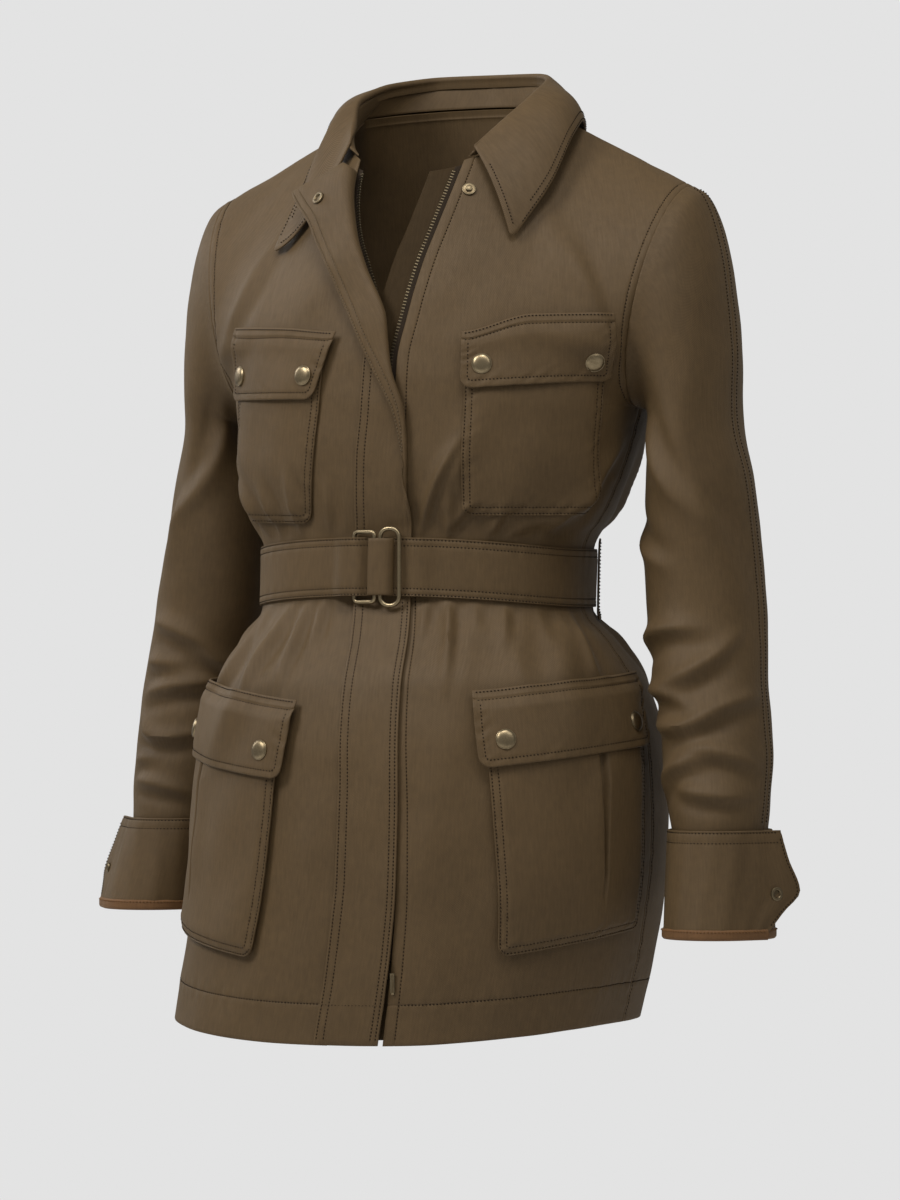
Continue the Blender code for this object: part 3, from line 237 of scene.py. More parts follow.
# Sleeve creases: place runs round from the underarm by the front to the outer seam and the back
SLEEVE_GIRTH = 0.295
SLEEVE_CREASE_SCALE = 1.45
SLEEVE_BACK_SCALE = 0.8
SLEEVE_BACK_FROM = (0.13, 0.17)
SLEEVE_QUIET = {"left": 0.162, "right": 0.127}
SLEEVE_QUIET_REACH = (0.006, 0.032)
SLEEVE_CREASES = {
    "left": creases(
        (60, -275, -38, 75, 10, 4.2, 0.2),
        (30, -330, -62, 50, 7.5, 3.2, 0.1),
        (95, -300, -18, 90, 14, 3, 0.1),
        (45, -392, 78, 58, 7, 4.8, 0.2),
        (85, -418, 62, 56, 7.5, 4.6, -0.2),
        (40, -436, 96, 50, 6.5, 4.4, 0.2),
        (105, -446, 74, 46, 7, 3.8, 0.1),
        (60, -462, 84, 58, 6.5, 4.4, -0.2),
        (100, -482, 104, 46, 6.5, 3.6, 0.1),
        (50, -492, 70, 50, 6.5, 4, 0.2),
        (85, -512, 96, 52, 6, 3.6, -0.1),
        (200, -380, 100, 55, 7.5, 4.2, 0.1),
        (230, -415, 78, 50, 7, 4.2, -0.2),
        (195, -450, 96, 52, 7, 4, 0.1),
        (235, -480, 82, 50, 6.5, 3.6, 0.0),
        (205, -512, 92, 50, 6, 3.4, 0.1),
        (215, -270, 30, 80, 12, 3.6, 0.1),
        (160, -200, 8, 90, 16, 2.4, 0.0),
    ),
    "right": creases(
        (62, -268, -34, 78, 10, 4.2, 0.2),
        (105, -330, -20, 90, 13, 3.6, 0.1),
        (80, -392, 70, 60, 7.5, 4.6, 0.2),
        (110, -416, 84, 52, 7, 4.4, -0.1),
        (70, -434, 98, 56, 7, 4.2, 0.1),
        (115, -456, 66, 50, 7, 4, 0.2),
        (80, -474, 88, 56, 6.5, 4.2, -0.2),
        (115, -494, 100, 46, 6, 3.6, 0.1),
        (75, -512, 80, 52, 6, 3.6, 0.1),
        (30, -420, 70, 46, 7, 4, 0.0),
        (195, -376, 84, 56, 7.5, 4.2, 0.1),
        (235, -408, 100, 50, 7, 4, -0.1),
        (200, -440, 78, 52, 7, 4, 0.1),
        (230, -474, 94, 50, 6.5, 3.6, 0.1),
        (205, -508, 86, 50, 6, 3.4, 0.0),
        (210, -262, 28, 80, 12, 3.6, 0.1),
        (150, -200, -6, 90, 16, 2.4, 0.0),
    ),
}

# Front edges, as distances round from the centre front
Edge = namedtuple("Edge", "height left right")
FRONT_EDGES = (
    Edge(HEM, 0.0460, 0.0020),
    Edge(-0.350, 0.0220, -0.0060),
    Edge(-0.250, 0.0135, -0.0050),
    Edge(-0.181, 0.0140, -0.0040),
    Edge(-0.147, 0.0185, -0.0065),
    Edge(-0.093, 0.0260, -0.0240),
    Edge(-0.050, 0.0350, -0.0425),
    Edge(0.000, 0.0440, -0.0560),
)
FRONT_COLUMNS = 92
FRONT_NECK_COLUMN = 32
BACK_HALF_COLUMNS = 62
BACK_NECK_COLUMN = 25

# Fly strip: sewn line, roll line and free edge measured across the strip, and how far it is turned back
Strip = namedtuple("Strip", "height sewn roll width radius turn")
FLY = (
    Strip(-0.6835, -0.0080, 0.0410, 0.0510, 0.0016, 0.0),
    Strip(-0.500, -0.0120, 0.0380, 0.0480, 0.0016, 0.0),
    Strip(-0.350, -0.0155, 0.0360, 0.0455, 0.0016, 0.0),
    Strip(-0.320, -0.0155, 0.0360, 0.0455, 0.0016, 0.0),
    Strip(-0.298, -0.0155, 0.0385, 0.0460, 0.0016, 70.0),
    Strip(-0.272, -0.0155, 0.0400, 0.0469, 0.0017, 180.0),
    Strip(-0.232, -0.0140, 0.0348, 0.0468, 0.0020, 180.0),
    Strip(-0.190, -0.0130, 0.0214, 0.0409, 0.0026, 180.0),
    Strip(-0.147, -0.0110, 0.0130, 0.0480, 0.0028, 180.0),
    Strip(-0.093, -0.0290, 0.0070, 0.0451, 0.0040, 180.0),
    Strip(-0.062, -0.0415, 0.0060, 0.0507, 0.0050, 180.0),
    Strip(-0.036, -0.0500, 0.0053, 0.0585, 0.0058, 180.0),
    Strip(-0.012, -0.0560, 0.0050, 0.0759, 0.0065, 180.0),
)

# Free edge of the turned-back fly: where each of the strip's rows ends over the right front
Free = namedtuple("Free", "height place at out")
FLY_FREE = (
    Free(-0.272, 0.0257, -0.2712, 0.0060),
    Free(-0.232, 0.0152, -0.2323, 0.0062),
    Free(-0.190, -0.0027, -0.1921, 0.0064),
    Free(-0.147, -0.0234, -0.1464, 0.0072),
    Free(-0.120, -0.0339, -0.1262, 0.0085),
    Free(-0.093, -0.0461, -0.1033, 0.0100),
    Free(-0.062, -0.0624, -0.0831, 0.0130),
    Free(-0.036, -0.0746, -0.0711, 0.0170),
    Free(-0.012, -0.1040, -0.0633, 0.0215),
)
FLY_TURNING = (-0.290, -0.268)
FLY_SNAP = (-0.0285, 0.54)
FLY_ROWS = 150
FLY_ROWS_IN = (0.0020, 0.0078)
FLY_EDGE_ROWS = (0.0023, 0.0062)
FLY_NEAR = (0.0, EDGE_INSET, 0.0014, 0.0020, 0.0026, 0.0036, 0.0045, 0.0054, 0.0070, 0.0078, 0.0086)
FLY_NEAR_SPAN = 0.0110
FLY_MID = 0.0022
FLY_CLOTH = 0.0018

# Zip and under-placket
TAPE_PAST_EDGE = 0.006
TAPE_UNDER = 0.009
TAPE_DEPTH = -0.0022
TAPE_CLOTH = 0.0011
LEFT_TAPE_TOP = -0.003
RIGHT_TAPE_TOP = -0.007
LEFT_TAPE_FOOT = -0.6220
RIGHT_TAPE_FOOT = -0.676
PLACKET_PAST_EDGE = 0.027
PLACKET_UNDER = 0.012
PLACKET_DEPTH = -0.0046
PLACKET_TOP = -0.001
PLACKET_FOOT = -0.680
UNDER_ROWS = 120
SLIDER_TOP = -0.6230
SLIDER_FOOT = -0.6350
SLIDER_PLACE = 0.0369
SLIDER_HALF_WIDTH = 0.0036
SLIDER_MIDDLE = -0.0022
SLIDER_PLATE = 0.0028
PULL_PIVOT = (0.0443, -0.6310, 0.0012)
PULL_LENGTH = 0.0150
PULL_HALF_WIDTH = 0.0017
PULL_THICKNESS = 0.0012
PULL_ROOM = 0.0013
PULL_ROOM_SPREAD = (0.0055, 0.0065)
PULL_ROOM_LIFT = 0.0008
PULL_ABOVE = 0.03
PULL_ROUND = 0.18
PULL_NARROWING = 0.75
PULL_RIM = 0.0006
PULL_SINK = 0.0003
SLIDER_TAPER = 0.72
BRIDGE_INSET = 0.0012
BRIDGE_RISE = 0.0006
TOOTH_SIZE = (0.0030, 0.0013, 0.0016)
TOOTH_BEVEL = 0.0003
TEETH_INSET = 0.0004

# Pockets and flaps: corners as distances round from the centre front and heights
Patch = namedtuple("Patch", "name side in_top out_top in_foot out_foot"
                            " in_top_z out_top_z in_foot_z out_foot_z proud sag", defaults=(0.0,))
POCKETS = (
    Patch("pocket_chest_left", 1, 0.067, 0.176, 0.068, 0.172, -0.190, -0.190, -0.3057, -0.3050, 0.0012),
    Patch("pocket_chest_right", -1, 0.047, 0.148, 0.055, 0.146, -0.197, -0.196, -0.3112, -0.3090, 0.0012),
    Patch("pocket_hip_left", 1, 0.098, 0.240, 0.120, 0.246, -0.455, -0.447, -0.622, -0.612, 0.0046),
    Patch("pocket_hip_right", -1, 0.062, 0.206, 0.074, 0.214, -0.455, -0.447, -0.624, -0.614, 0.0046),
)
FLAPS = (
    Patch("flap_chest_left", 1, 0.064, 0.178, 0.065, 0.179,
          -0.1605, -0.1570, -0.2132, -0.2061, 0.0016, 0.011),
    Patch("flap_chest_right", -1, 0.036, 0.146, 0.052, 0.152,
          -0.1680, -0.1640, -0.2196, -0.2181, 0.0016, 0.002),
    Patch("flap_hip_left", 1, 0.086, 0.238, 0.096, 0.246, -0.434, -0.424, -0.486, -0.477, 0.0050),
    Patch("flap_hip_right", -1, 0.050, 0.202, 0.058, 0.212, -0.440, -0.428, -0.494, -0.484, 0.0050),
)
PATCH_GAP = 0.0009
PATCH_NEAR = (0.0, 0.0006, 0.0014, 0.0022, 0.0034, 0.0048, 0.0058, 0.0068, 0.0080, 0.0100, 0.0130)
PATCH_CROSS = 34
PATCH_DROP = 30
PATCH_CORNER = 0.0085
EDGE_STITCH = 0.0016
SECOND_STITCH = 0.0062
WELT_STITCH = 0.0072
CHEST_ROLL = 0.012
HIP_ROLL = 0.010
HIP_EDGE = 0.0026
POCKET_TOP = 0.004
GUSSET_INSET = 0.0034
GUSSET_CLOTH = 0.0008
PLEAT_SHARE = 0.62
PLEAT_NARROWS = 0.25
PLEAT_END = 0.86
PLEAT_FADE = 0.25
PLEAT_WIDTHS = (0.0027, 0.0013)
PLEAT_OFF = 0.0016
PLEAT_FLOOR = 0.0003
LIP_START = (0.20, 0.32)
LIP_IN = 0.0028
LIP_OUT = 0.7 * LIP_IN
LIP_IN_REACH = 0.013
LIP_OUT_REACH = 0.015
SLACK = 0.0005
WELT_PROUD = 0.0009
HIP_DROOP = 0.0020
CHEST_DROOP = 0.0004
DROOP_REACH = 0.016
FLAP_WAVE = 0.0008
SNAP_SHARES = (0.135, 0.865)
SNAP_DROP = 0.66
SNAP_RIM = 0.0011
SNAP_PROUD = 0.0001
FRONT_SNAP = (0.0530, -0.031)
CAP_INSETS = ((0.03, 0.0002), (0.05, 0.0), (0.04, 0.0003), (0.10, 0.0005), (0.17, 0.0004),
              (0.22, 0.00025), (0.2, 0.0001))
SOCKET_INSETS = ((0.10, 0.00025), (0.22, 0.0001), (0.10, -0.0003), (0.08, -0.0010))
STUD_INSETS = ((0.10, 0.0002), (0.36, 0.0), (0.04, 0.0008), (0.01, 0.0006), (0.14, 0.0003))
PLEAT_NEAR = (-0.0100, -0.0060, -0.0035, -0.0022, -0.0014, -0.0007, -0.0001, 0.0005, 0.0016, 0.0027, 0.0033,
              0.0039, 0.0046, 0.0054, 0.0070, 0.0100)

# Collar: fold line and outer edge of each half, from the centre back to the front point
Collar = namedtuple("Collar", "share fold_x fold_y fold_z edge_x edge_y edge_z")
COLLAR_BACK = (
    Collar(0.00, 0.000, 0.084, 0.036, 0.000, 0.094, -0.018),
    Collar(0.25, 0.042, 0.074, 0.035, 0.058, 0.079, -0.020),
    Collar(0.50, 0.068, 0.034, 0.028, 0.096, 0.038, -0.017),
    Collar(0.60, 0.072, 0.013, 0.022, 0.106, 0.012, -0.007),
    Collar(0.70, 0.073, -0.008, 0.014, 0.109, -0.014, -0.018),
)
COLLAR = {
    1.0: COLLAR_BACK + (
        Collar(0.86, 0.063, -0.036, -0.006, 0.106, -0.046, -0.053),
        Collar(1.00, 0.047, -0.062, -0.029, 0.0873, -0.0832, -0.1018)),
    -1.0: COLLAR_BACK[:-2] + (
        Collar(0.60, 0.072, 0.013, 0.022, 0.100, 0.008, -0.005),
        Collar(0.70, 0.073, -0.008, 0.014, 0.090, -0.034, -0.024),
        Collar(0.86, 0.068, -0.030, -0.004, 0.1004, -0.0524, -0.0575),
        Collar(1.00, 0.060, -0.052, -0.022, 0.1175, -0.0695, -0.1043)),
}
RIGHT_END_CROWN = (0.0061, -0.0275, -0.0361)
COLLAR_COLUMNS = 140
COLLAR_ROWS = 26
COLLAR_CROWN = 0.010
STAND_ROWS = 8
COLLAR_TIPS = {1.0: 0.005, -1.0: 0.005}
COLLAR_SIDE = 0.200
COLLAR_DROP = 0.062
COLLAR_ROLL = 0.0027
COLLAR_TAIL = 0.005
COLLAR_WAVE = 0.0007
COLLAR_ROWS_IN = (0.0022, 0.0078)
COLLAR_END_ROW = 0.0025
STAND_HEIGHT = 0.03

# Sleeves: centre and half sizes at each height
Arm = namedtuple("Arm", "height x y half_x half_y")
SLEEVES = {
    "left": (1, (
        Arm(-0.275, 0.2030, 0.004, 0.0375, 0.0560),
        Arm(-0.320, 0.2045, 0.005, 0.0415, 0.0545),
        Arm(-0.370, 0.2080, 0.004, 0.0435, 0.0525),
        Arm(-0.430, 0.2160, -0.008, 0.0420, 0.0500),
        Arm(-0.485, 0.2265, -0.020, 0.0400, 0.0470),
        Arm(-0.520, 0.2300, -0.027, 0.0370, 0.0440),
        Arm(-0.546, 0.2320, -0.030, 0.0335, 0.0405))),
    "right": (-1, (
        Arm(-0.275, 0.2030, 0.036, 0.0390, 0.0530),
        Arm(-0.320, 0.2080, 0.038, 0.0440, 0.0530),
        Arm(-0.370, 0.2165, 0.042, 0.0470, 0.0520),
        Arm(-0.430, 0.2300, 0.046, 0.0460, 0.0505),
        Arm(-0.485, 0.2410, 0.046, 0.0430, 0.0475),
        Arm(-0.520, 0.2470, 0.042, 0.0385, 0.0440),
        Arm(-0.546, 0.2500, 0.038, 0.0335, 0.0405))),
}
CAP_OUT = {"left": 0.040, "right": 0.042}
CAP_FOOT = -0.236
CAP_STEPS = 5
UNDERARM_RADIUS = 0.012
SLEEVE_STEPS = 10
SLEEVE_TURNS = 104
HEAD_LAP = 0.0016
HEAD_DIP = 0.0005
SLEEVE_FINE = 12
SLEEVE_RUN = 0.033
SLEEVE_STEP_INSET = 0.03
SLEEVE_TURN_INSET = 0.018
SLEEVE_ROW_TURN = 0.10
SLEEVE_SEAM_TURN = 0.10
SLEEVE_SEAM_HOLD = 0.55

# Cuffs: open bands whose front end stands off as a pointed tab
Cuff = namedtuple("Cuff", "top foot foot_x foot_y")
CUFFS = {
    "left": Cuff(-0.538, -0.613, 0.2340, -0.037),
    "right": Cuff(-0.538, -0.604, 0.2640, 0.030),
}
CUFF_TOP_HALF = (0.0378, 0.0448)
CUFF_FOOT_HALF = (0.0405, 0.0480)
CUFF_UNDERLAP_TURN = -188.0
CUFF_LEAVING_TURN = 140.0
CUFF_COLUMNS = 18
TAB_COLUMNS = 3
CUFF_FINE = 5
CUFF_ROWS = 26
TAB_SNAP = (0.62, 0.58)
Tab = namedtuple("Tab", "drop length")
TAB_END = (Tab(0.0, 0.034), Tab(0.28, 0.041), Tab(0.60, 0.051), Tab(0.80, 0.036), Tab(1.0, 0.022))
BINDING_HEIGHT = 0.0045
BINDING_PROUD = 0.0006
BINDING_OVER = 0.0030
CUFF_HEIGHT = 0.070
CUFF_SECOND_STITCH = 0.0085
CUFF_COLUMN_RUN = 0.015
CUFF_BROAD_WAVE = 0.0005
CUFF_FINE_WAVE = 0.0003
BINDING_SWELL = 0.0003

# Belt, its keeper, rings and loops
BELT_CLOTH = 0.0020
BELT_COLUMNS = 260
BELT_OVER_FLY = 0.0036
BELT_OVER_RING = 0.0088
BELT_FLY_REACH = (-0.0230, 0.0370)
BELT_RING_REACH = (-0.0195, -0.0085)
BELT_EASE = 0.014
BELT_WAVE = 0.0004
KEEPER_INNER = 0.0116
KEEPER_FOOT = 0.0068
KEEPER_ENDS = (-0.0005, 0.0175)
KEEPER_FLAT = (0.0020, 0.0120)
KEEPER_INSET = 0.0006
Ring = namedtuple("Ring", "name near far half_height near_out far_out corner")
RINGS = (
    Ring("belt_ring_front", 0.0090, 0.0235, 0.0285, 0.0094, 0.0094, 0.0065),
    Ring("belt_ring_rear", -0.0130, 0.0045, 0.0260, 0.0066, 0.0094, 0.0030),
)
TORUS_RADIUS = 0.02
LOOP_HALF_WIDTH = 0.004
LOOP_CLEAR = 0.0015
LOOP_ROW = 0.0016
LOOP_TOP = -0.321
LOOP_FOOT = -0.384
LOOP_OFFSETS = (0.0012, 0.0030, 0.0031, 0.0030, 0.0012)
LOOP_PLACES = {"belt_loop_left": 0.222, "belt_loop_right": -0.222}

# Camera and studio
CAMERA_AZIMUTH = 24.0
CAMERA_DISTANCE = 4.5
CAMERA_TARGET = (0.0, 0.0, -0.3686)
PICTURE_PIXELS = 1200
METRES_PER_PIXEL = 0.00076
SENSOR = 24.0
FLOOR_HEIGHT = -1.40
FLOOR_SIZE = 7.0
WORLD_STRENGTH = 0.26
LIGHTS = (
    ("key_light", (-1.40, -2.05, 1.80), 1.3, 66.0),
    ("top_light", (0.67, -1.51, 2.49), 1.3, 47.0),
    ("side_light", (2.19, -1.26, 1.75), 1.5, 14.0),
    ("rim_light", (-2.95, 0.52, 1.03), 1.5, 29.0),
)

# The form of a cloth piece's flat cut, in metres
Cut = namedtuple("Cut", "width length area held rests_on")


def smooth(rows, column, at):
    """A table's column at one or more heights, on a smooth curve that never swings past its rows."""
    keys = np.array([row[0] for row in rows])
    values = np.array([getattr(row, column) for row in rows])
    secants = np.diff(values) / np.diff(keys)
    before, after = secants[:-1], secants[1:]
    same_way = before * after > 0
    inner = np.where(same_way, 2 * before * after / np.where(same_way, before + after, 1.0), 0.0)
    slopes = np.concatenate((secants[:1], inner, secants[-1:]))
    at = np.clip(np.asarray(at, float), keys[0], keys[-1])
    index = np.clip(np.searchsorted(keys, at) - 1, 0, len(keys) - 2)
    step = keys[index + 1] - keys[index]
    t = (at - keys[index]) / step
    rise = t * t * (3 - 2 * t)
    return (values[index] * (1 - rise) + values[index + 1] * rise
            + slopes[index] * step * t * (1 - t) ** 2 - slopes[index + 1] * step * t * t * (1 - t))


def between(a, b, share):
    return a + (b - a) * share


def ease(value, low, high):
    t = np.clip((np.asarray(value, float) - low) / (high - low), 0.0, 1.0)
    return t * t * (3 - 2 * t)


def unit(vectors):
    return vectors / np.linalg.norm(vectors, axis=-1, keepdims=True)


def run_along(path):
    """Distances along a path to each of its points."""
    return np.concatenate(((0.0,), np.cumsum(np.linalg.norm(np.diff(path, axis=0), axis=1))))


def at_run(path, run, distances):
    """Points of a path at distances along it."""
    return np.stack([np.interp(distances, run, path[:, axis]) for axis in range(3)], axis=-1)


def evened(net, passes):
    """A net of points smoothed down its columns, whose ends stay."""
    net = net.copy()
    for _ in range(passes):
        net[1:-1] = (net[:-2] + 2 * net[1:-1] + net[2:]) / 4
    return net


def grid_normals(grid):
    """Directions square to a net of points, at each of its points."""
    return unit(np.cross(np.gradient(grid, axis=1), np.gradient(grid, axis=0)))


def facing(normals, picked, way):
    return normals if np.dot(normals[picked], way) > 0 else -normals


def lower_row(height, back):
    """Half of the body's section below the armpit, from the centre to the side seam."""
    turn = np.linspace(0.0, math.pi / 2, ROW_SAMPLES)
    power = 2.0 / SQUARENESS
    depth = smooth(BODY, "back" if back else "front", height)
    sign = 1.0 if back else -1.0
    x = smooth(BODY, "half_width", height) * np.sin(turn) ** power
    y = smooth(BODY, "lean_y", height) + sign * depth * np.abs(np.cos(turn)) ** power
    lift = 0.0 if back else smooth(BODY, "front_lift", height)
    return np.stack((x, y, height + lift * np.cos(turn) ** 2), axis=1)


def top_row(back):
    """Half of a panel's top edge: the neckline and then the shoulder seam."""
    share = np.linspace(0.0, 1.0, ROW_SAMPLES)[:, None]
    turn = np.clip(share / NECK_SHARE, 0.0, 1.0) * math.pi / 2
    middle = NECK_BACK if back else NECK_FRONT
    neck = middle * np.cos(turn) + NECK_SIDE * (1 - np.cos(turn))
    neck[:, :1] = NECK_SIDE[0] * np.sin(turn)
    along = np.clip((share - NECK_SHARE) / (1 - NECK_SHARE), 0.0, 1.0)
    return np.where(share <= NECK_SHARE, neck, between(NECK_SIDE, SHOULDER_TIP, along))


def upper_row(height, back):
    """Half of a panel's row above the armpit, swept from the chest up to its top edge."""
    rise = min(1.0 - height / ARMPIT, 1.0)
    low, top = lower_row(ARMPIT, back), top_row(back)
    row = between(low, top, rise ** RISE_POWER)
    row[:, 2] = between(low[:, 2], top[:, 2], rise)
    edge = between(low[-1], SHOULDER_TIP, rise)
    swing = 2.0 * math.sqrt(max(rise * (1.0 - rise), 0.0))
    edge[1] += swing * (ARMHOLE_BACK_DEPTH if back else -ARMHOLE_FRONT_DEPTH)
    share = np.linspace(0.0, 1.0, ROW_SAMPLES)[:, None]
    power = ARMHOLE_POWER + ARMHOLE_FOOT_POWER * (1.0 - float(ease(rise, 0.0, ARMHOLE_FOOT_RISE)))
    return row + (edge - row[-1]) * share ** power


Surface = namedtuple("Surface", "heights reach points normals neck")


def level_armpit(points, heights):
    """Takes the bend out of the back where its upper and lower rows meet, clear of the armholes."""
    near = np.exp(-((heights - ARMPIT) / LEVEL_REACH) ** 2)[:, None, None]
    shares = np.abs(np.linspace(-1.0, 1.0, points.shape[1]))
    clear = (1.0 - ease(shares, *LEVEL_SHARES))[None, :, None]
    return between(points, evened(points, LEVEL_PASSES), near * clear)


def body_surface(back):
    """The front or back as a table of points and outward directions, by height and share round."""
    lower, upper = SURFACE_ROWS
    heights = np.concatenate((np.linspace(HEM, ARMPIT, lower)[:-1], np.linspace(ARMPIT, 0.0, upper)))
    even = np.linspace(0.0, 1.0, HALF_SHARES + 1)
    points, reaches, neck = [], [], 0.0
    for height in heights:
        row = lower_row(height, back) if height <= ARMPIT else upper_row(height, back)
        run = run_along(row)
        half = at_run(row, run, even * run[-1])
        full = np.concatenate((half[:0:-1] * (-1, 1, 1), half))
        full[:, 0] += smooth(BODY, "lean_x", height) * min(height / ARMPIT, 1.0)
        points.append(full)
        reaches.append(run[-1])
        neck = run[int(round(NECK_SHARE * (ROW_SAMPLES - 1)))]
    points = np.array(points)
    rises = np.maximum(1.0 - heights / ARMPIT, 0.0)
    if back:
        even_rows = evened(points.transpose(1, 0, 2), EVEN_PASSES).transpose(1, 0, 2)
        keep = np.where(rises > 0, ease(rises, EVEN_UNTIL, 1.0), 1.0)[:, None, None]
        points = level_armpit(between(even_rows, points, keep), heights)
    normals = grid_normals(points)
    return Surface(heights, np.array(reaches), points, -normals if back else normals, neck)


SURFACES = {back: body_surface(back) for back in (False, True)}


def reach(height, back=False):
    return np.interp(height, SURFACES[back].heights, SURFACES[back].reach)


def crease_depth(creases, across, up):
    """How far a table of creases moves the cloth out or in."""
    total = np.zeros(np.broadcast(across, up).shape)
    for crease in creases:
        turn = math.radians(crease.angle)
        aside, above = across - crease.place, up - crease.height
        along = aside * math.sin(turn) + above * math.cos(turn)
        off = aside * math.cos(turn) - above * math.sin(turn) - crease.bend * along ** 2 / crease.half_length
        fade = np.clip(1.0 - (along / crease.half_length) ** 2, 0.0, 1.0) ** 2
        t = off / crease.half_width
        trough = TROUGH_DEPTH * np.exp(-((t - TROUGH_PLACE) ** 2) / TROUGH_SPREAD)
        total += crease.depth * fade * (np.exp(-np.abs(t) ** CREASE_POWER) - trough)
    return total


def ripple(across, up):
    """A faint unevenness that all pressed cloth keeps."""
    return RIPPLE * sum(share * np.sin(aside * across + above * up + start)
                        for share, aside, above, start in RIPPLE_WAVES)


def groove(distance, line):
    """The dip that a row of stitches pulls into cloth, by distance from the row."""
    return -GROOVE_DEPTH * np.exp(-((distance - line) / GROOVE_WIDTH) ** 2)


def pucker(distance, along):
    """The small waves that sewing leaves in cloth, by distance from the rows and along them."""
    wave = sum(share * np.sin(count * along + start) for share, count, start in PUCKER_WAVES)
    return PUCKER * wave * np.exp(-(distance / PUCKER_REACH) ** 2)


def sewn_in(place, height, back):
    """Dips along the rows of stitches on a front or the back."""
    end = reach(height, back) - np.abs(place)
    dips = groove(height, HEM + HEM_ROW) + np.where(height > ARMPIT, groove(end, ARMHOLE_ROW), 0.0)
    dips = dips + pucker(height - HEM - HEM_ROW, place) + pucker(end - ARMHOLE_ROW, height)
    if back:
        return dips + np.where(height <= ARMPIT, groove(end, SIDE_ROW), 0.0) + groove(height, -SHOULDER_ROW)
    return dips + groove(place, left_edge(height) + FRONT_ROW)


def relief(place, height, back):
    """Folds, creases and ripples of the body. The belt holds the cloth flat."""
    folds = np.zeros(np.broadcast(place, height).shape)
    for fold in (BACK_FOLDS if back else FRONT_FOLDS):
        up = height - fold.height
        off = place - fold.place - fold.lean * up
        folds += fold.depth * np.exp(-(off / fold.half_width) ** 2 - (up / fold.half_height) ** 2)
    small = crease_depth(BACK_CREASES if back else FRONT_CREASES, place, height) + ripple(place, height)
    small = small * ease(reach(height, back) - np.abs(place), 0.0, SEAM_FADE)
    past_belt = np.maximum(np.maximum(BELT_FOOT - height, height - BELT_TOP), 0.0)
    return (folds * (1.0 - np.exp(-(past_belt / BELT_HOLD) ** 2))
            + small * (1.0 - np.exp(-(past_belt / CREASE_HOLD) ** 2)) + sewn_in(place, height, back))


def skin(place, height, out=0.0, back=False):
    """Points of the cloth's outer face, moved out by a distance."""
    place, height, out = np.broadcast_arrays(np.asarray(place, float), height, out)
    surface = SURFACES[back]
    column = (np.clip(place / reach(height, back), -1.0, 1.0) + 1.0) * HALF_SHARES
    row = np.interp(height, surface.heights, np.arange(len(surface.heights)))
    left = np.minimum(column.astype(int), 2 * HALF_SHARES - 1)
    low = np.minimum(row.astype(int), len(surface.heights) - 2)
    u, v = (column - left)[..., None], (row - low)[..., None]

    def mix(grid):
        return between(between(grid[low, left], grid[low, left + 1], u),
                       between(grid[low + 1, left], grid[low + 1, left + 1], u), v)

    return mix(surface.points) + unit(mix(surface.normals)) * (relief(place, height, back) + out)[..., None]


def ring_skin(distance, height, out=0.0):
    """Points all the way round the body, from the centre front by the wearer's left."""
    distance, height, out = np.broadcast_arrays(np.asarray(distance, float), height, out)
    front = reach(height)
    past = np.maximum(front + reach(height, True) - np.abs(distance), 0.0)
    at_front = skin(np.clip(distance, -front, front), height, out)
    at_back = skin(np.copysign(past, distance), height, out, True)
    return np.where((np.abs(distance) <= front)[..., None], at_front, at_back)


def direction(points_at):
    """Unit directions out of a surface, from a function that gives its points at a distance out."""
    return unit(points_at(0.001) - points_at(0.0))


def with_edges(values):
    """Columns with one more just inside each end, where an edge rounds over."""
    values = np.asarray(values, float)
    step = math.copysign(EDGE_INSET, values[-1] - values[0])
    return np.concatenate((values[:1], values[:1] + step, values[1:-1], values[-1:] - step, values[-1:]))


def shell_faces(index, inside, closed):
    """Faces of a two-sided net with its rims, from its grid of point numbers."""
    a, b, c, d = index[:-1, :-1], index[:-1, 1:], index[1:, 1:], index[1:, :-1]
    top = np.stack((a, b, c, d), axis=-1).reshape(-1, 4)
    rims = [(index[0, 1:], index[0, :-1]), (index[-1, :-1], index[-1, 1:])]
    if not closed:
        rims += [(index[:-1, 0], index[1:, 0]), (index[1:, -1], index[:-1, -1])]
    sides = [np.stack((first, last, last + inside, first + inside), axis=-1) for first, last in rims]
    return np.concatenate([top, top[:, ::-1] + inside] + sides)


def add_object(name, mesh, finish_name, node=None, body="jacket"):
    """Links a finished mesh, gives it its finish and ties it to the frame."""
    mesh.materials.append(finish(finish_name))
    piece = bpy.data.objects.new(name, mesh)
    bpy.context.scene.collection.objects.link(piece)
    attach(piece, body)
    if node:
        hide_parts(node)
    return piece


def smooth_mesh(mesh, degrees):
    mesh.shade_smooth()
    mesh.set_sharp_from_angle(angle=math.radians(degrees))


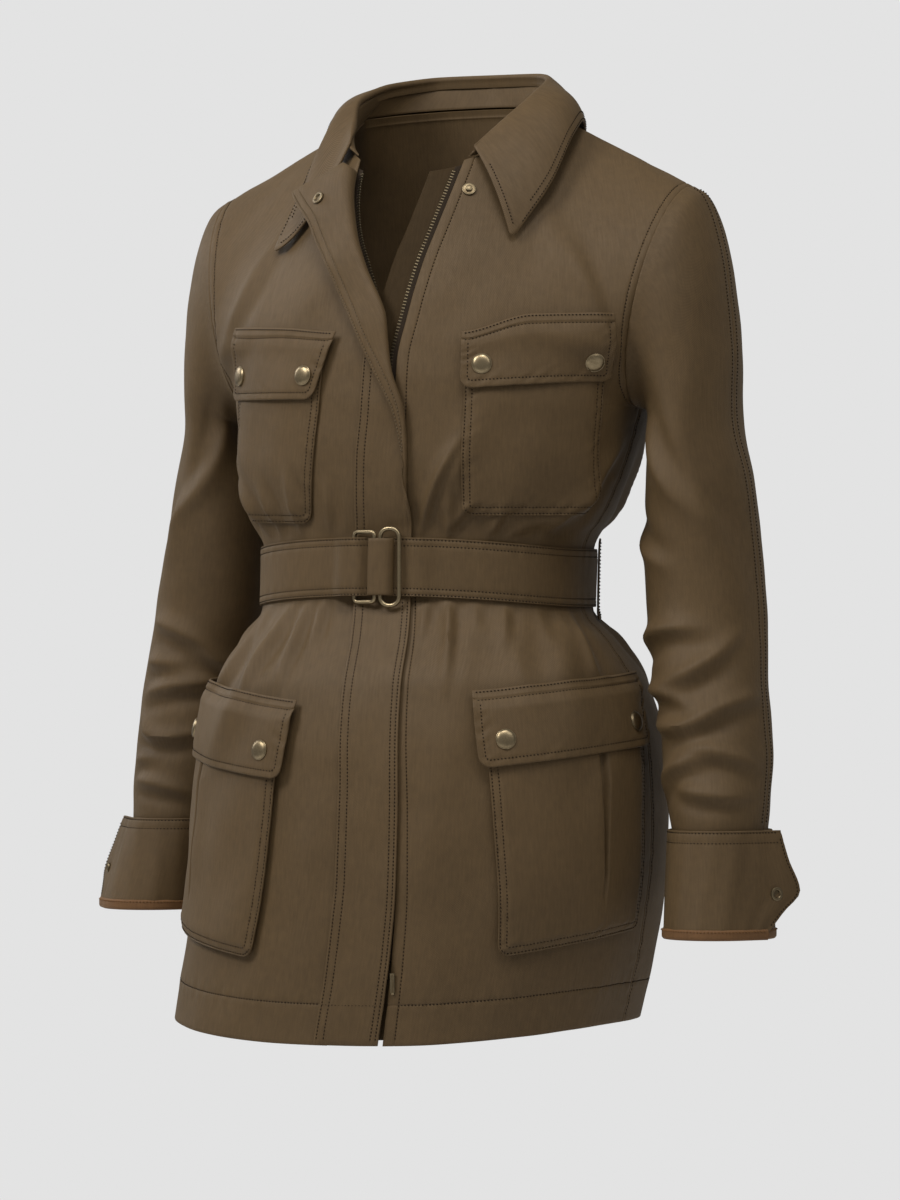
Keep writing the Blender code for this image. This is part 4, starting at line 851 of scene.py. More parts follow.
def two_sided(name, outer, inner, uv, closed=False):
    """A closed mesh from the two faces of a cloth, its weave running by a map of the cloth."""
    rows, columns = outer.shape[:2]
    inside = rows * columns
    index = np.arange(inside).reshape(rows, columns)
    if closed:
        index = np.concatenate((index, index[:, :1]), axis=1)
    uv_index = np.arange(uv.shape[0] * uv.shape[1]).reshape(uv.shape[:2])
    faces, corners = shell_faces(index, inside, closed), shell_faces(uv_index, 0, closed)
    points = np.concatenate((outer.reshape(-1, 3), inner.reshape(-1, 3)))
    middle_face = faces[(rows // 2) * (index.shape[1] - 1) + columns // 2]
    a, b, c, d = points[middle_face]
    if np.dot(np.cross(c - a, d - b), a - points[middle_face[0] + inside]) < 0:
        faces, corners = faces[:, ::-1], corners[:, ::-1]
    mesh = bpy.data.meshes.new(name)
    mesh.from_pydata(points.tolist(), [], faces.tolist())
    layer = mesh.uv_layers.new(name="cloth")
    layer.data.foreach_set("uv", uv.reshape(-1, 2)[corners.ravel()].astype(np.float32).ravel())
    smooth_mesh(mesh, CLOTH_SHARP)
    return mesh


def shell(node, outer, inner, uv, finish_name="olive_cotton_twill", closed=False):
    """A thin cloth shell on a node's form, with rounded edges."""
    outer, inner = np.array(outer), np.array(inner)
    edges = [0, -1] if closed else [0, -1, (slice(None), 0), (slice(None), -1)]
    for edge in edges:
        middle = (outer[edge] + inner[edge]) / 2
        outer[edge] = between(middle, outer[edge], EDGE_PINCH)
        inner[edge] = between(middle, inner[edge], EDGE_PINCH)
    name = node + "_cloth"
    return add_object(name, two_sided(name, outer, inner, uv, closed), finish_name, node)


class Sewing:
    """Rows of stitches, gathered from paths that lie on the cloth and laid as one piece."""

    def __init__(self, sizes):
        self.sizes = sizes
        self.points = []

    def row(self, points_at):
        """Adds a row along a path, given by a function of the distance out."""
        path, normals = points_at(0.0), direction(points_at)
        run = run_along(path)
        pitch = self.sizes.stitch + self.sizes.stitch_gap
        count = int(run[-1] / pitch)
        if count < 1:
            return
        starts = (run[-1] - count * pitch + self.sizes.stitch_gap) / 2 + np.arange(count) * pitch
        half = self.sizes.thread / 2
        spots = [at_run(path, run, starts + share * self.sizes.stitch) for share in STITCH_SHARES]
        up = unit(at_run(normals, run, starts + self.sizes.stitch / 2))
        aside = np.cross(unit(spots[3] - spots[0]), up)
        made = [spots[0] - up * half * STITCH_SUNK]
        for spot in spots[1:3]:
            crown = spot + up * half * STITCH_CROWN
            made += [crown + aside * half, crown + up * half, crown - aside * half, crown - up * half]
        made.append(spots[3] - up * half * STITCH_SUNK)
        self.points.append(np.stack(made, axis=1))

    def lay(self, name, finish_name):
        stitches = np.concatenate(self.points)
        template = []
        for k in range(4):
            n = (k + 1) % 4
            template += [(0, 1 + k, 1 + n, 1 + n), (1 + k, 5 + k, 5 + n, 1 + n), (9, 5 + n, 5 + k, 5 + k)]
        faces = [[first + corner for corner in dict.fromkeys(face)]
                 for first in range(0, 10 * len(stitches), 10) for face in template]
        mesh = bpy.data.meshes.new(name)
        mesh.from_pydata(stitches.reshape(-1, 3).tolist(), [], faces)
        mesh.shade_smooth()
        return add_object(name, mesh, finish_name)


def set_inputs(node, values):
    for label, value in values.items():
        node.inputs[label].default_value = value


def new_group(name, numbers, *outputs):
    """A shader node group that takes a vector and some numbers and gives numbers."""
    group = bpy.data.node_groups.new(name, "ShaderNodeTree")
    group.interface.new_socket("Vector", in_out="INPUT", socket_type="NodeSocketVector")
    for label, default in numbers:
        socket = group.interface.new_socket(label, in_out="INPUT", socket_type="NodeSocketFloat")
        socket.default_value = default
    for label in outputs:
        group.interface.new_socket(label, in_out="OUTPUT", socket_type="NodeSocketFloat")
    return group, group.nodes.new("NodeGroupInput"), group.nodes.new("NodeGroupOutput")


def maths(tree, operation, first, second):
    """A maths node whose two inputs are links or numbers."""
    node = tree.nodes.new("ShaderNodeMath")
    node.operation = operation
    for socket, value in zip(node.inputs, (first, second)):
        if isinstance(value, (int, float)):
            socket.default_value = value
        else:
            tree.links.new(value, socket)
    return node.outputs[0]


def twill_group():
    """Fine diagonal ribs with uneven yarn: a tone and a height."""
    group, given, made = new_group("twill_weave", (("Ribs", 560.0), ("Yarn", 700.0)), "Tone", "Height")
    links = group.links
    ribs = group.nodes.new("ShaderNodeTexWave")
    ribs.wave_type = "BANDS"
    ribs.bands_direction = "DIAGONAL"
    set_inputs(ribs, {"Distortion": 0.8, "Detail": 1.0})
    stretch = group.nodes.new("ShaderNodeMapping")
    set_inputs(stretch, {"Scale": (1.0, 0.10, 1.0)})
    yarn = group.nodes.new("ShaderNodeTexNoise")
    set_inputs(yarn, {"Detail": 2.0})
    links.new(given.outputs["Vector"], ribs.inputs["Vector"])
    links.new(given.outputs["Ribs"], ribs.inputs["Scale"])
    links.new(given.outputs["Vector"], stretch.inputs["Vector"])
    links.new(stretch.outputs["Vector"], yarn.inputs["Vector"])
    links.new(given.outputs["Yarn"], yarn.inputs["Scale"])
    rib_part = maths(group, "MULTIPLY", ribs.outputs["Fac"], 0.45)
    yarn_part = maths(group, "MULTIPLY", yarn.outputs["Fac"], 0.55)
    both = maths(group, "ADD", rib_part, yarn_part)
    links.new(both, made.inputs["Tone"])
    links.new(both, made.inputs["Height"])
    return group


def uneven_group():
    """Broad and fine unevenness of a finish, as one mask."""
    group, given, made = new_group("uneven_finish", (("Broad", 9.0), ("Fine", 160.0)), "Mask")
    parts = []
    for label, weight in (("Broad", 0.6), ("Fine", 0.4)):
        noise = group.nodes.new("ShaderNodeTexNoise")
        set_inputs(noise, {"Detail": 3.0})
        group.links.new(given.outputs["Vector"], noise.inputs["Vector"])
        group.links.new(given.outputs[label], noise.inputs["Scale"])
        parts.append(maths(group, "MULTIPLY", noise.outputs["Fac"], weight))
    group.links.new(maths(group, "ADD", *parts), made.inputs["Mask"])
    return group


def placed_group(tree, name, build, **values):
    node = tree.nodes.new("ShaderNodeGroup")
    node.node_tree = bpy.data.node_groups.get(name) or build()
    set_inputs(node, values)
    return node


def uneven_mask(tree, **sizes):
    """A finish's unevenness over the whole piece."""
    coordinates = tree.nodes.new("ShaderNodeTexCoord")
    uneven = placed_group(tree, "uneven_finish", uneven_group, **sizes)
    tree.links.new(coordinates.outputs["Object"], uneven.inputs["Vector"])
    return uneven.outputs["Mask"]


def ranged(tree, value, low, high, from_low=0.3, from_high=0.7):
    node = tree.nodes.new("ShaderNodeMapRange")
    set_inputs(node, {"From Min": from_low, "From Max": from_high, "To Min": low, "To Max": high})
    tree.links.new(value, node.inputs["Value"])
    return node.outputs["Result"]


def blended(tree, share, first, second):
    node = tree.nodes.new("ShaderNodeMix")
    node.data_type = "RGBA"
    set_inputs(node, {"A": (*first, 1.0), "B": (*second, 1.0)})
    tree.links.new(share, node.inputs["Factor"])
    return node.outputs["Result"]


def bumped(tree, shader, height, distance, strength):
    node = tree.nodes.new("ShaderNodeBump")
    set_inputs(node, {"Distance": distance, "Strength": strength})
    tree.links.new(height, node.inputs["Height"])
    tree.links.new(node.outputs["Normal"], shader.inputs["Normal"])


def started(name):
    made = bpy.data.materials.new(name)
    made.use_nodes = True
    return made, made.node_tree, made.node_tree.nodes["Principled BSDF"]


def toned(colour, share):
    return tuple(share * part for part in colour)


def woven(name, lit, shade, ribs, sheen, rough, gloss=0.28):
    """Woven cloth: ribs and yarn along its own map, with broad tones over the piece."""
    made, tree, shader = started(name)
    cloth_map = tree.nodes.new("ShaderNodeUVMap")
    cloth_map.uv_map = "cloth"
    twill = placed_group(tree, "twill_weave", twill_group, Ribs=ribs)
    tree.links.new(cloth_map.outputs["UV"], twill.inputs["Vector"])
    weave = twill.outputs["Tone"]
    halves = [maths(tree, "MULTIPLY", part, 0.5) for part in (weave, uneven_mask(tree))]
    tone = ranged(tree, maths(tree, "ADD", *halves), 0.0, 1.0, 0.32, 0.68)
    tree.links.new(blended(tree, tone, shade, lit), shader.inputs["Base Color"])
    tree.links.new(ranged(tree, weave, rough + 0.08, rough - 0.08), shader.inputs["Roughness"])
    bumped(tree, shader, twill.outputs["Height"], 0.0003, 0.45)
    set_inputs(shader, {"Specular IOR Level": gloss, "Sheen Weight": sheen, "Sheen Roughness": 0.42,
                        "Sheen Tint": (0.62, 0.52, 0.32, 1.0)})
    return made


def thread_finish(name, colour):
    """Twisted thread, matt and uneven."""
    made, tree, shader = started(name)
    mask = uneven_mask(tree, Broad=60.0, Fine=1400.0)
    tone = ranged(tree, mask, 0.0, 1.0)
    tree.links.new(blended(tree, tone, toned(colour, 0.6), colour), shader.inputs["Base Color"])
    bumped(tree, shader, mask, 0.0002, 0.4)
    set_inputs(shader, {"Roughness": 0.75, "Specular IOR Level": 0.1})
    return made


def brass_finish(name, bright, dark, rough):
    """Darkened brass, brighter where it is rubbed."""
    made, tree, shader = started(name)
    mask = uneven_mask(tree, Broad=120.0, Fine=900.0)
    rubbed = tree.nodes.new("ShaderNodeNewGeometry")
    edges = ranged(tree, rubbed.outputs["Pointiness"], 0.0, 0.5, 0.46, 0.58)
    tone = maths(tree, "ADD", ranged(tree, mask, 0.1, 0.7), edges)
    tree.links.new(blended(tree, tone, dark, bright), shader.inputs["Base Color"])
    tree.links.new(ranged(tree, mask, rough + 0.1, rough - 0.08), shader.inputs["Roughness"])
    bumped(tree, shader, mask, 0.0002, 0.2)
    set_inputs(shader, {"Metallic": 1.0})
    return made


def finish(name):
    """The jacket's finishes, each made the first time that a piece asks for it."""
    found = bpy.data.materials.get(name)
    if found:
        return found
    tones = bpy.context.scene.jacket_colours
    kind, *values = {
        "olive_cotton_twill": (woven, tones.cotton_lit, tones.cotton_shade, 560.0, 0.05, 0.66),
        # A copy of the cotton darkened to 0.42 for the under-placket: painted shade of its place, turned in
        # behind the zip.
        "shaded_cotton_twill": (woven, toned(tones.cotton_lit, 0.42), toned(tones.cotton_shade, 0.42),
                                560.0, 0.0, 0.75, 0.1),
        "brown_binding_weave": (woven, tones.binding, toned(tones.binding, 0.6), 900.0, 0.1, 0.7),
        "dark_zip_tape": (woven, tones.tape, toned(tones.tape, 0.6), 1100.0, 0.0, 0.85, 0.1),
        # Olive thread darkened: painted shade of the needle holes.
        "olive_thread": (thread_finish, tones.thread),
        # Paler thread: painted highlight of the stitches on the turned-back fly.
        "pale_thread": (thread_finish, tones.pale_thread),
        "binding_thread": (thread_finish, toned(tones.binding, 1.15)),
        "antique_brass_worn": (brass_finish, tones.brass, tones.brass_dark, 0.36),
        "dark_brass": (brass_finish, toned(tones.brass, 0.6), tones.brass_dark, 0.42),
        "zip_metal": (brass_finish, toned(tones.brass, 0.34), tones.brass_dark, 0.5),
    }[name]
    return kind(name, *values)


def panel_heights():
    lower = np.linspace(HEM, ARMPIT, LOWER_STEPS)
    rises = (1 - np.cos(np.pi * np.arange(1, ARMHOLE_STEPS + 1) / ARMHOLE_STEPS)) / 2
    hem = HEM + HEM_ROW + np.array(ROW_NEAR)
    lower = lower[(lower < hem[0] - 0.001) | (lower > hem[-1] + 0.001)]
    upper = ARMPIT * (1 - rises)
    shoulder = -SHOULDER_ROW + np.array(ROW_NEAR)
    upper = upper[(upper < shoulder[0] - 0.0004) | (upper > shoulder[-1] + 0.0004)]
    return np.sort(np.concatenate((lower, (HEM + EDGE_INSET,), hem, upper, shoulder)))


def panel_places(height, start, columns, neck_column, back):
    """Distances round to a half panel's columns; near the top one of them meets the neck point."""
    end = reach(height, back)
    near = np.array(ROW_NEAR)
    first = np.array(()) if back else start + np.concatenate(((0.0, EDGE_INSET), FRONT_ROW + near))
    side = between(SIDE_ROW, ARMHOLE_ROW, ease(height, ARMPIT - 0.02, ARMPIT)) + near
    last = end - np.concatenate((side[::-1], (EDGE_INSET, 0.0)))
    low, high = (start if back else first[-1] + 0.002), last[0] - 0.002
    even = np.linspace(low, high, columns)
    rise = max(1.0 - height / ARMPIT, 0.0)
    neck = SURFACES[back].neck / SURFACES[back].reach[-1] * end
    cornered = np.concatenate((np.linspace(low, neck, neck_column + 1)[:-1],
                               np.linspace(neck, high, columns - neck_column)))
    return np.concatenate((first, between(even, cornered, rise ** 2), last))


def pull_room(place, height):
    """How far the left front gives way under the eye of the zip's pull, which turns there."""
    aside, above = place - PULL_PIVOT[0], height - PULL_PIVOT[1]
    across, up = PULL_ROOM_SPREAD
    return PULL_ROOM * np.exp(-(aside / across) ** 2 - ((above - PULL_ROOM_LIFT) / up) ** 2)


def panel(node, sides, start, columns, neck_column, back):
    """A front or back panel: rows from the hem to the shoulder seam."""
    outer, inner, uv = [], [], []
    for height in panel_heights():
        places = panel_places(height, start(height), columns, neck_column, back)
        places = np.concatenate((-places[:0:-1], places)) if len(sides) == 2 else places * sides[0]
        room = 0.0 if back else pull_room(places, height)
        outer.append(skin(places, height, -room, back))
        inner.append(skin(places, height, -room - CLOTH, back))
        uv.append(np.stack((places, np.full(len(places), height)), axis=1))
    outer, inner = np.array(outer), np.array(inner)
    for net in (outer, inner):
        net[-1, :, 1] += SEAM_GAP / 2 * (1 if back else -1)
    return shell(node, outer, inner, np.array(uv))


def left_edge(height):
    return smooth(FRONT_EDGES, "left", height)


def right_edge(height):
    return smooth(FRONT_EDGES, "right", height)


def sew_panels(sewing):
    """Hem, edge, side, shoulder and armhole rows."""
    share = np.linspace(0.0, 1.0, 90)
    hem = HEM + HEM_ROW
    for start, end, back in ((left_edge(hem) + FRONT_ROW, reach(hem) - 0.001, False),
                             (right_edge(hem) - 0.012, -reach(hem) + 0.001, False),
                             (-reach(hem, True) + 0.001, reach(hem, True) - 0.001, True)):
        sewing.row(lambda out: skin(between(start, end, share), hem, out, back))
    rows = between(HEM + 0.004, -0.006, share)
    sewing.row(lambda out: skin(left_edge(rows) + FRONT_ROW, rows, out))
    below = between(HEM + 0.004, BELT_FOOT - 0.004, share)
    above = between(BELT_TOP + 0.004, ARMPIT - 0.004, share)
    arm = between(ARMPIT + 0.006, -0.003, share)
    seam = between(SURFACES[True].neck + 0.014, SURFACES[True].reach[-1] - 0.004, share)
    for side in (1, -1):
        for heights in (below, above):
            sewing.row(lambda out: skin(side * (reach(heights, True) - SIDE_ROW), heights, out, True))
        for back in (False, True):
            sewing.row(lambda out: skin(side * (reach(arm, back) - ARMHOLE_ROW), arm, out, back))
        sewing.row(lambda out: skin(side * seam, -SHOULDER_ROW, out, True))


def fly_row(height):
    return Strip(height, *(smooth(FLY, column, height) for column in Strip._fields[1:]))


def fly_points(row, along, offset):
    """Points of the fly across one row, offset from the strip's middle face."""
    arc = math.pi * row.radius
    full = math.radians(min(max(float(row.turn), 0.01), 180.0))
    angle = full * np.clip((along - row.roll) / arc, 0.0, 1.0)
    bend = arc / full
    rest = np.maximum(along - row.roll - arc, 0.0)
    place = row.sewn + np.minimum(along, row.roll) + bend * np.sin(angle) + rest * np.cos(angle)
    out = FLY_MID + bend * (1 - np.cos(angle)) + rest * np.sin(angle)
    height = np.full(place.shape, float(row.height))
    turned = float(ease(row.height, *FLY_TURNING))
    if turned > 0.0:
        share = rest / (row.width - row.roll - arc)
        free = Free(row.height, *(smooth(FLY_FREE, column, row.height) for column in Free._fields[1:]))
        blend = np.where(rest > 0.0, turned, 0.0)
        place = between(place, between(row.sewn + row.roll, free.place, share), blend)
        out = between(out, between(FLY_MID + 2 * row.radius, free.out, share), blend)
        height = between(height, free.at, share * blend)
    flat = row.turn < 90
    dip = sum(groove(along, line) for line in FLY_ROWS_IN)
    dip = dip + sum(groove(row.width - along, line) for line in (FLY_EDGE_ROWS if flat else FLY_ROWS_IN))
    offset = offset + math.copysign(1.0, offset) * dip / 2
    return skin(place - offset * np.sin(angle), height, out + offset * np.cos(angle))


def fly_columns(row):
    arc = math.pi * row.radius
    rest = row.width - row.roll - arc
    sewn, free = (np.array(FLY_NEAR) * min(room / FLY_NEAR_SPAN, 1.0) for room in (row.roll, rest))
    return np.concatenate((sewn, np.linspace(sewn[-1], row.roll, 12)[1:-1],
                           row.roll + np.linspace(0.0, arc, 10)[:-1],
                           np.linspace(row.roll + arc, row.width - free[-1], 10)[:-1],
                           row.width - free[::-1]))


def make_fly():
    outer, inner, uv = [], [], []
    heights = with_edges(np.linspace(FLY[0].height, FLY[-1].height, FLY_ROWS))
    for height in heights:
        row = fly_row(height)
        along = fly_columns(row)
        outer.append(fly_points(row, along, FLY_CLOTH / 2))
        inner.append(fly_points(row, along, -FLY_CLOTH / 2))
        uv.append(np.stack((along, np.full(len(along), height)), axis=1))
    return shell("fly", outer, inner, np.array(uv))


def fly_line(sewing, heights, across, face):
    """A row of stitches along the fly, at a distance across it and on one of its faces."""
    rows = [fly_row(height) for height in heights]

    def at(out):
        offset = face * (FLY_CLOTH / 2 + out)
        return np.array([fly_points(row, np.array([across(row)]), offset)[0] for row in rows])

    sewing.row(at)


def sew_fly(sewing):
    """Two rows at the sewn line, two at the flat free edge and one across the hem."""
    flat = np.linspace(FLY[0].height + 0.003, BELT_FOOT - 0.003, 90)
    for inset in FLY_ROWS_IN:
        fly_line(sewing, flat, lambda row: inset, 1)
        fly_line(sewing, np.linspace(BELT_TOP + 0.003, -0.172, 60), lambda row: inset, 1)
    for inset in FLY_EDGE_ROWS:
        fly_line(sewing, flat, lambda row: row.width - inset, 1)
    hem = fly_row(HEM + HEM_ROW)
    across = np.linspace(0.001, hem.width - 0.001, 30)
    sewing.row(lambda out: fly_points(hem, across, FLY_CLOTH / 2 + out))


def sew_turned_fly(sewing):
    """Two rows along the free edge where the fly is turned back."""
    turned = np.linspace(-0.262, FLY[-1].height - 0.003, 110)

    def narrowed(row):
        return min((row.width - row.roll - 3.2 * row.radius) / 0.009, 1.0)

    for inset in FLY_ROWS_IN:
        fly_line(sewing, turned, lambda row: row.width - inset * narrowed(row), -1)


def under_strip(node, edge, past, under, side, depth, cloth, top, foot, finish_name):
    """A strip beneath a front edge: a zip tape or the placket behind it."""
    outer, inner, uv = [], [], []
    for height in with_edges(np.linspace(foot, top, UNDER_ROWS)):
        places = with_edges(np.linspace(edge(height) - past * side, edge(height) + under * side, 10))
        outer.append(skin(places, height, depth))
        inner.append(skin(places, height, depth - cloth))
        uv.append(np.stack((places, np.full(len(places), height)), axis=1))
    return shell(node, outer, inner, np.array(uv), finish_name)


def deselect():
    bpy.ops.object.select_all(action="DESELECT")


def edit_mode():
    bpy.ops.object.mode_set(mode="EDIT")
    bpy.ops.mesh.select_all(action="SELECT")


def take_mesh(name):
    """The active object's mesh with its place applied; the object itself goes."""
    bpy.ops.object.mode_set(mode="OBJECT")
    bpy.ops.object.transform_apply(location=True, rotation=True, scale=True)
    made = bpy.context.object
    mesh = made.data
    mesh.name = name
    bpy.data.objects.remove(made, do_unlink=True)
    return mesh


def select_faces_up(height):
    """In edit mode, selects only the faces at a height that look up."""
    bpy.ops.mesh.select_all(action="DESELECT")
    bpy.ops.mesh.select_mode(type="FACE")
    work = bmesh.from_edit_mesh(bpy.context.object.data)
    for face in work.faces:
        face.select_set(face.normal.z > 0.5 and abs(face.calc_center_median().z - height) < 1e-5)
    bmesh.update_edit_mesh(bpy.context.object.data)


def start_block(size, cuts=0, middle=(0.0, 0.0, 0.0)):
    """Starts a block in edit mode, its faces cut into smaller ones."""
    deselect()
    bpy.ops.mesh.primitive_cube_add(size=1.0, location=middle)
    bpy.context.object.scale = size
    bpy.ops.object.transform_apply(location=True, rotation=True, scale=True)
    edit_mode()
    if cuts:
        bpy.ops.mesh.subdivide(number_cuts=cuts)


def taper(width_at):
    """In edit mode, scales the width at each point by a function of the point's height."""
    work = bmesh.from_edit_mesh(bpy.context.object.data)
    for vertex in work.verts:
        vertex.co.x *= width_at(vertex.co.y)
    bmesh.update_edit_mesh(bpy.context.object.data)


def tooth_form():
    """One zip tooth: a block with bevelled edges."""
    start_block(TOOTH_SIZE)
    bpy.ops.mesh.bevel(offset=TOOTH_BEVEL, segments=1, affect="EDGES")
    return take_mesh("tooth_form")


def stand_on(point, normal, up):
    """A placing matrix: Z along the normal, Y as near to up as it can be."""
    normal = Vector(normal).normalized()
    across = Vector(up).cross(normal).normalized()
    upward = normal.cross(across)
    return Matrix.Translation(Vector(point)) @ Matrix((across, upward, normal)).transposed().to_4x4()


def set_metal(name, mesh, spot, degrees, finish_name, node, body="jacket"):
    """Stands a metal piece on the cloth, at a spot given by a function of the distance out."""
    mesh.transform(stand_on(spot(0.0)[0], direction(spot)[0], (0, 0, 1)))
    smooth_mesh(mesh, degrees)
    return add_object(name, mesh, finish_name, node, body)


def make_teeth(name, form, path, normals, pitch):
    """A row of teeth along a path, each a copy of one form."""
    run = run_along(path)
    corners = np.array([vertex.co for vertex in form.vertices])
    sides = [tuple(polygon.vertices) for polygon in form.polygons]
    points, faces = [], []
    for distance in np.arange(pitch, run[-1] - pitch, pitch):
        ahead, behind = (at_run(path, run, distance + step) for step in (pitch / 2, -pitch / 2))
        spot, normal = at_run(path, run, distance), at_run(normals, run, distance)
        place = np.array(stand_on(spot, normal, ahead - behind))
        first = len(points) * len(corners)
        points.append(corners @ place[:3, :3].T + place[:3, 3])
        faces += [[first + corner for corner in side] for side in sides]
    mesh = bpy.data.meshes.new(name)
    mesh.from_pydata(np.concatenate(points).tolist(), [], faces)
    smooth_mesh(mesh, METAL_SHARP)
    return add_object(name, mesh, "zip_metal")


def make_zip(sizes):
    """The zip's tapes and the placket behind them, then its teeth, slider and pull."""
    halves = (("left", left_edge, 1, LEFT_TAPE_TOP, LEFT_TAPE_FOOT),
              ("right", right_edge, -1, RIGHT_TAPE_TOP, RIGHT_TAPE_FOOT))
    strips = [under_strip("zip_tape_" + label, edge, TAPE_PAST_EDGE, TAPE_UNDER, side, TAPE_DEPTH, TAPE_CLOTH,
                          top, foot, "dark_zip_tape")
              for label, edge, side, top, foot in halves]
    # The placket takes the darkened copy of the cotton, as painted shade behind the zip.
    strips.append(under_strip("under_placket", left_edge, PLACKET_PAST_EDGE, PLACKET_UNDER, 1, PLACKET_DEPTH,
                              CLOTH, PLACKET_TOP, PLACKET_FOOT, "shaded_cotton_twill"))
    form = tooth_form()
    middle = TAPE_DEPTH - TAPE_CLOTH / 2
    for label, edge, side, top, foot in halves:
        heights = np.linspace(foot, top, 200)
        places = edge(heights) - (TAPE_PAST_EDGE - TEETH_INSET) * side

        def path_at(out):
            return skin(places, heights, middle + out)

        make_teeth("zip_teeth_" + label, form, path_at(0.0), direction(path_at), sizes.tooth_pitch)
    bpy.data.meshes.remove(form)
    make_slider()
    make_pull()
    return strips


def make_slider():
    """The slider's body: a tapered block with a bridge across its face."""
    length = SLIDER_TOP - SLIDER_FOOT
    start_block((2 * SLIDER_HALF_WIDTH, length, SLIDER_PLATE), cuts=3)
    taper(lambda up: between(SLIDER_TAPER, 1.0, up / length + 0.5))
    select_faces_up(SLIDER_PLATE / 2)
    bpy.ops.mesh.inset(thickness=BRIDGE_INSET, depth=0.0)
    bpy.ops.mesh.extrude_region_move(TRANSFORM_OT_translate={"value": (0.0, 0.0, BRIDGE_RISE)})
    middle = (SLIDER_TOP + SLIDER_FOOT) / 2
    set_metal("zip_slider_body", take_mesh("zip_slider_body"),
              lambda out: skin(np.array([SLIDER_PLACE]), middle, SLIDER_MIDDLE + out),
              METAL_SHARP, "dark_brass", "zip_slider")


def make_pull():
    """The slider's pull: a slim plate with a rounded foot and a sunk face."""
    start_block((2 * PULL_HALF_WIDTH, PULL_LENGTH * (1 + PULL_ABOVE), PULL_THICKNESS), cuts=6,
                middle=(0.0, -PULL_LENGTH * (1 - PULL_ABOVE) / 2, 0.0))

    def width_at(up):
        foot = min(max((-up / PULL_LENGTH - 1 + PULL_ROUND) / PULL_ROUND, 0.0), 1.0)
        return math.sqrt(1.0 - PULL_NARROWING * foot * foot)

    taper(width_at)
    select_faces_up(PULL_THICKNESS / 2)
    bpy.ops.mesh.inset(thickness=PULL_RIM, depth=-PULL_SINK)
    place, height, out = PULL_PIVOT
    set_metal("zip_pull_plate", take_mesh("zip_pull_plate"),
              lambda more: skin(np.array([place]), height, out + more),
              METAL_SHARP, "dark_brass", "zip_pull", "pull")


def patch_spot(patch, across, down):
    """Distances round and heights of a patch's points, from shares across and down it."""
    place = between(between(patch.in_top, patch.out_top, across),
                    between(patch.in_foot, patch.out_foot, across), down)
    height = between(between(patch.in_top_z, patch.out_top_z, across),
                     between(patch.in_foot_z, patch.out_foot_z, across), down)
    place, height = np.broadcast_arrays(place * patch.side, height)
    if is_hip(patch):
        return place, height
    height = height - patch.sag * ease(1.0 - across, 0.55, 1.0) * (1.0 - ease(down, 0.0, 0.8))
    nominal = height
    for _ in range(5):
        nominal = nominal + height - skin(place, nominal)[..., 2]
    return place, nominal


def patch_size(patch):
    width = (patch.out_top - patch.in_top + patch.out_foot - patch.in_foot) / 2
    length = (patch.in_top_z - patch.in_foot_z + patch.out_top_z - patch.out_foot_z) / 2
    return width, length


def corner_rise(aside):
    """How much a patch's foot rises towards a side, which rounds its corner."""
    inside = np.clip(PATCH_CORNER - aside, 0.0, PATCH_CORNER)
    return PATCH_CORNER - np.sqrt(PATCH_CORNER ** 2 - inside ** 2)


def on_patch(patch, aside, below, out):
    """Points of a patch from distances in from its inner edge and down from its top."""
    width, length = patch_size(patch)
    rise = corner_rise(np.minimum(aside, width - aside))
    place, height = patch_spot(patch, aside / width, below / length * (1.0 - rise / length))
    return ring_skin(place, height, out)


def is_hip(patch):
    return "hip" in patch.name


def pleat_line(patch):
    return PLEAT_SHARE * patch_size(patch)[0]


def pocket_stand(patch, aside, below):
    """How far a pocket's cloth stands off its panel: edges, swell, sewn grooves and the hip pleat."""
    width, length = patch_size(patch)
    edge = np.minimum(np.minimum(aside, width - aside), length - below)
    swell = patch.proud * ease(edge, 0.0, CHEST_ROLL)
    if is_hip(patch):
        swell = between(HIP_EDGE, patch.proud, ease(edge, 0.0, HIP_ROLL))
        drop, off = below / length, aside - pleat_line(patch)
        fade = 1.0 - ease(drop, PLEAT_END - PLEAT_FADE, PLEAT_END)
        lips = ease(drop, *LIP_START) * np.where(off < 0, LIP_IN * np.exp(-(off / LIP_IN_REACH) ** 2),
                                                 LIP_OUT * np.exp(-(off / LIP_OUT_REACH) ** 2))
        width_here = between(*PLEAT_WIDTHS, ease(drop, PLEAT_NARROWS, PLEAT_END))
        fold = np.exp(-np.abs((off - PLEAT_OFF) / width_here) ** 3)
        swell += fade * lips - fade * fold * np.maximum(swell + lips - PLEAT_FLOOR, 0.0)
    sewn = groove(edge, EDGE_STITCH) + groove(edge, SECOND_STITCH)
    slack = SLACK * np.sin(70 * aside + 1.0) * np.sin(55 * below) * ease(edge, 0.004, 0.02)
    return PATCH_GAP + CLOTH + swell + sewn + slack + pucker(edge - SECOND_STITCH, aside + 1.3 * below)


def flap_stand(patch, aside, below):
    """How far a flap stands off: it leaves a sewn welt at its top and lies over its pocket."""
    width, length = patch_size(patch)
    side = np.minimum(aside, width - aside)
    edge = np.minimum(side, length - below)
    drop = below / length
    lay = PATCH_GAP + CLOTH + patch.proud * ease(drop, 0.0, 0.30)
    welt = WELT_PROUD * (1.0 - ease(below, WELT_STITCH - 0.0016, WELT_STITCH)) + groove(below, WELT_STITCH)
    most = HIP_DROOP if is_hip(patch) else CHEST_DROOP
    droop = most * (1.0 - ease(side, 0.0, DROOP_REACH)) * ease(drop, 0.15, 0.5)
    wave = FLAP_WAVE * np.sin(46 * aside + 0.7) * ease(drop, 0.5, 1.0)
    sewn = groove(edge, SECOND_STITCH - 0.001) + 0.8 * pucker(edge - SECOND_STITCH, aside + 1.3 * below)
    return PATCH_GAP + CLOTH + lay + welt - droop + wave + sewn * ease(drop, 0.08, 0.12)


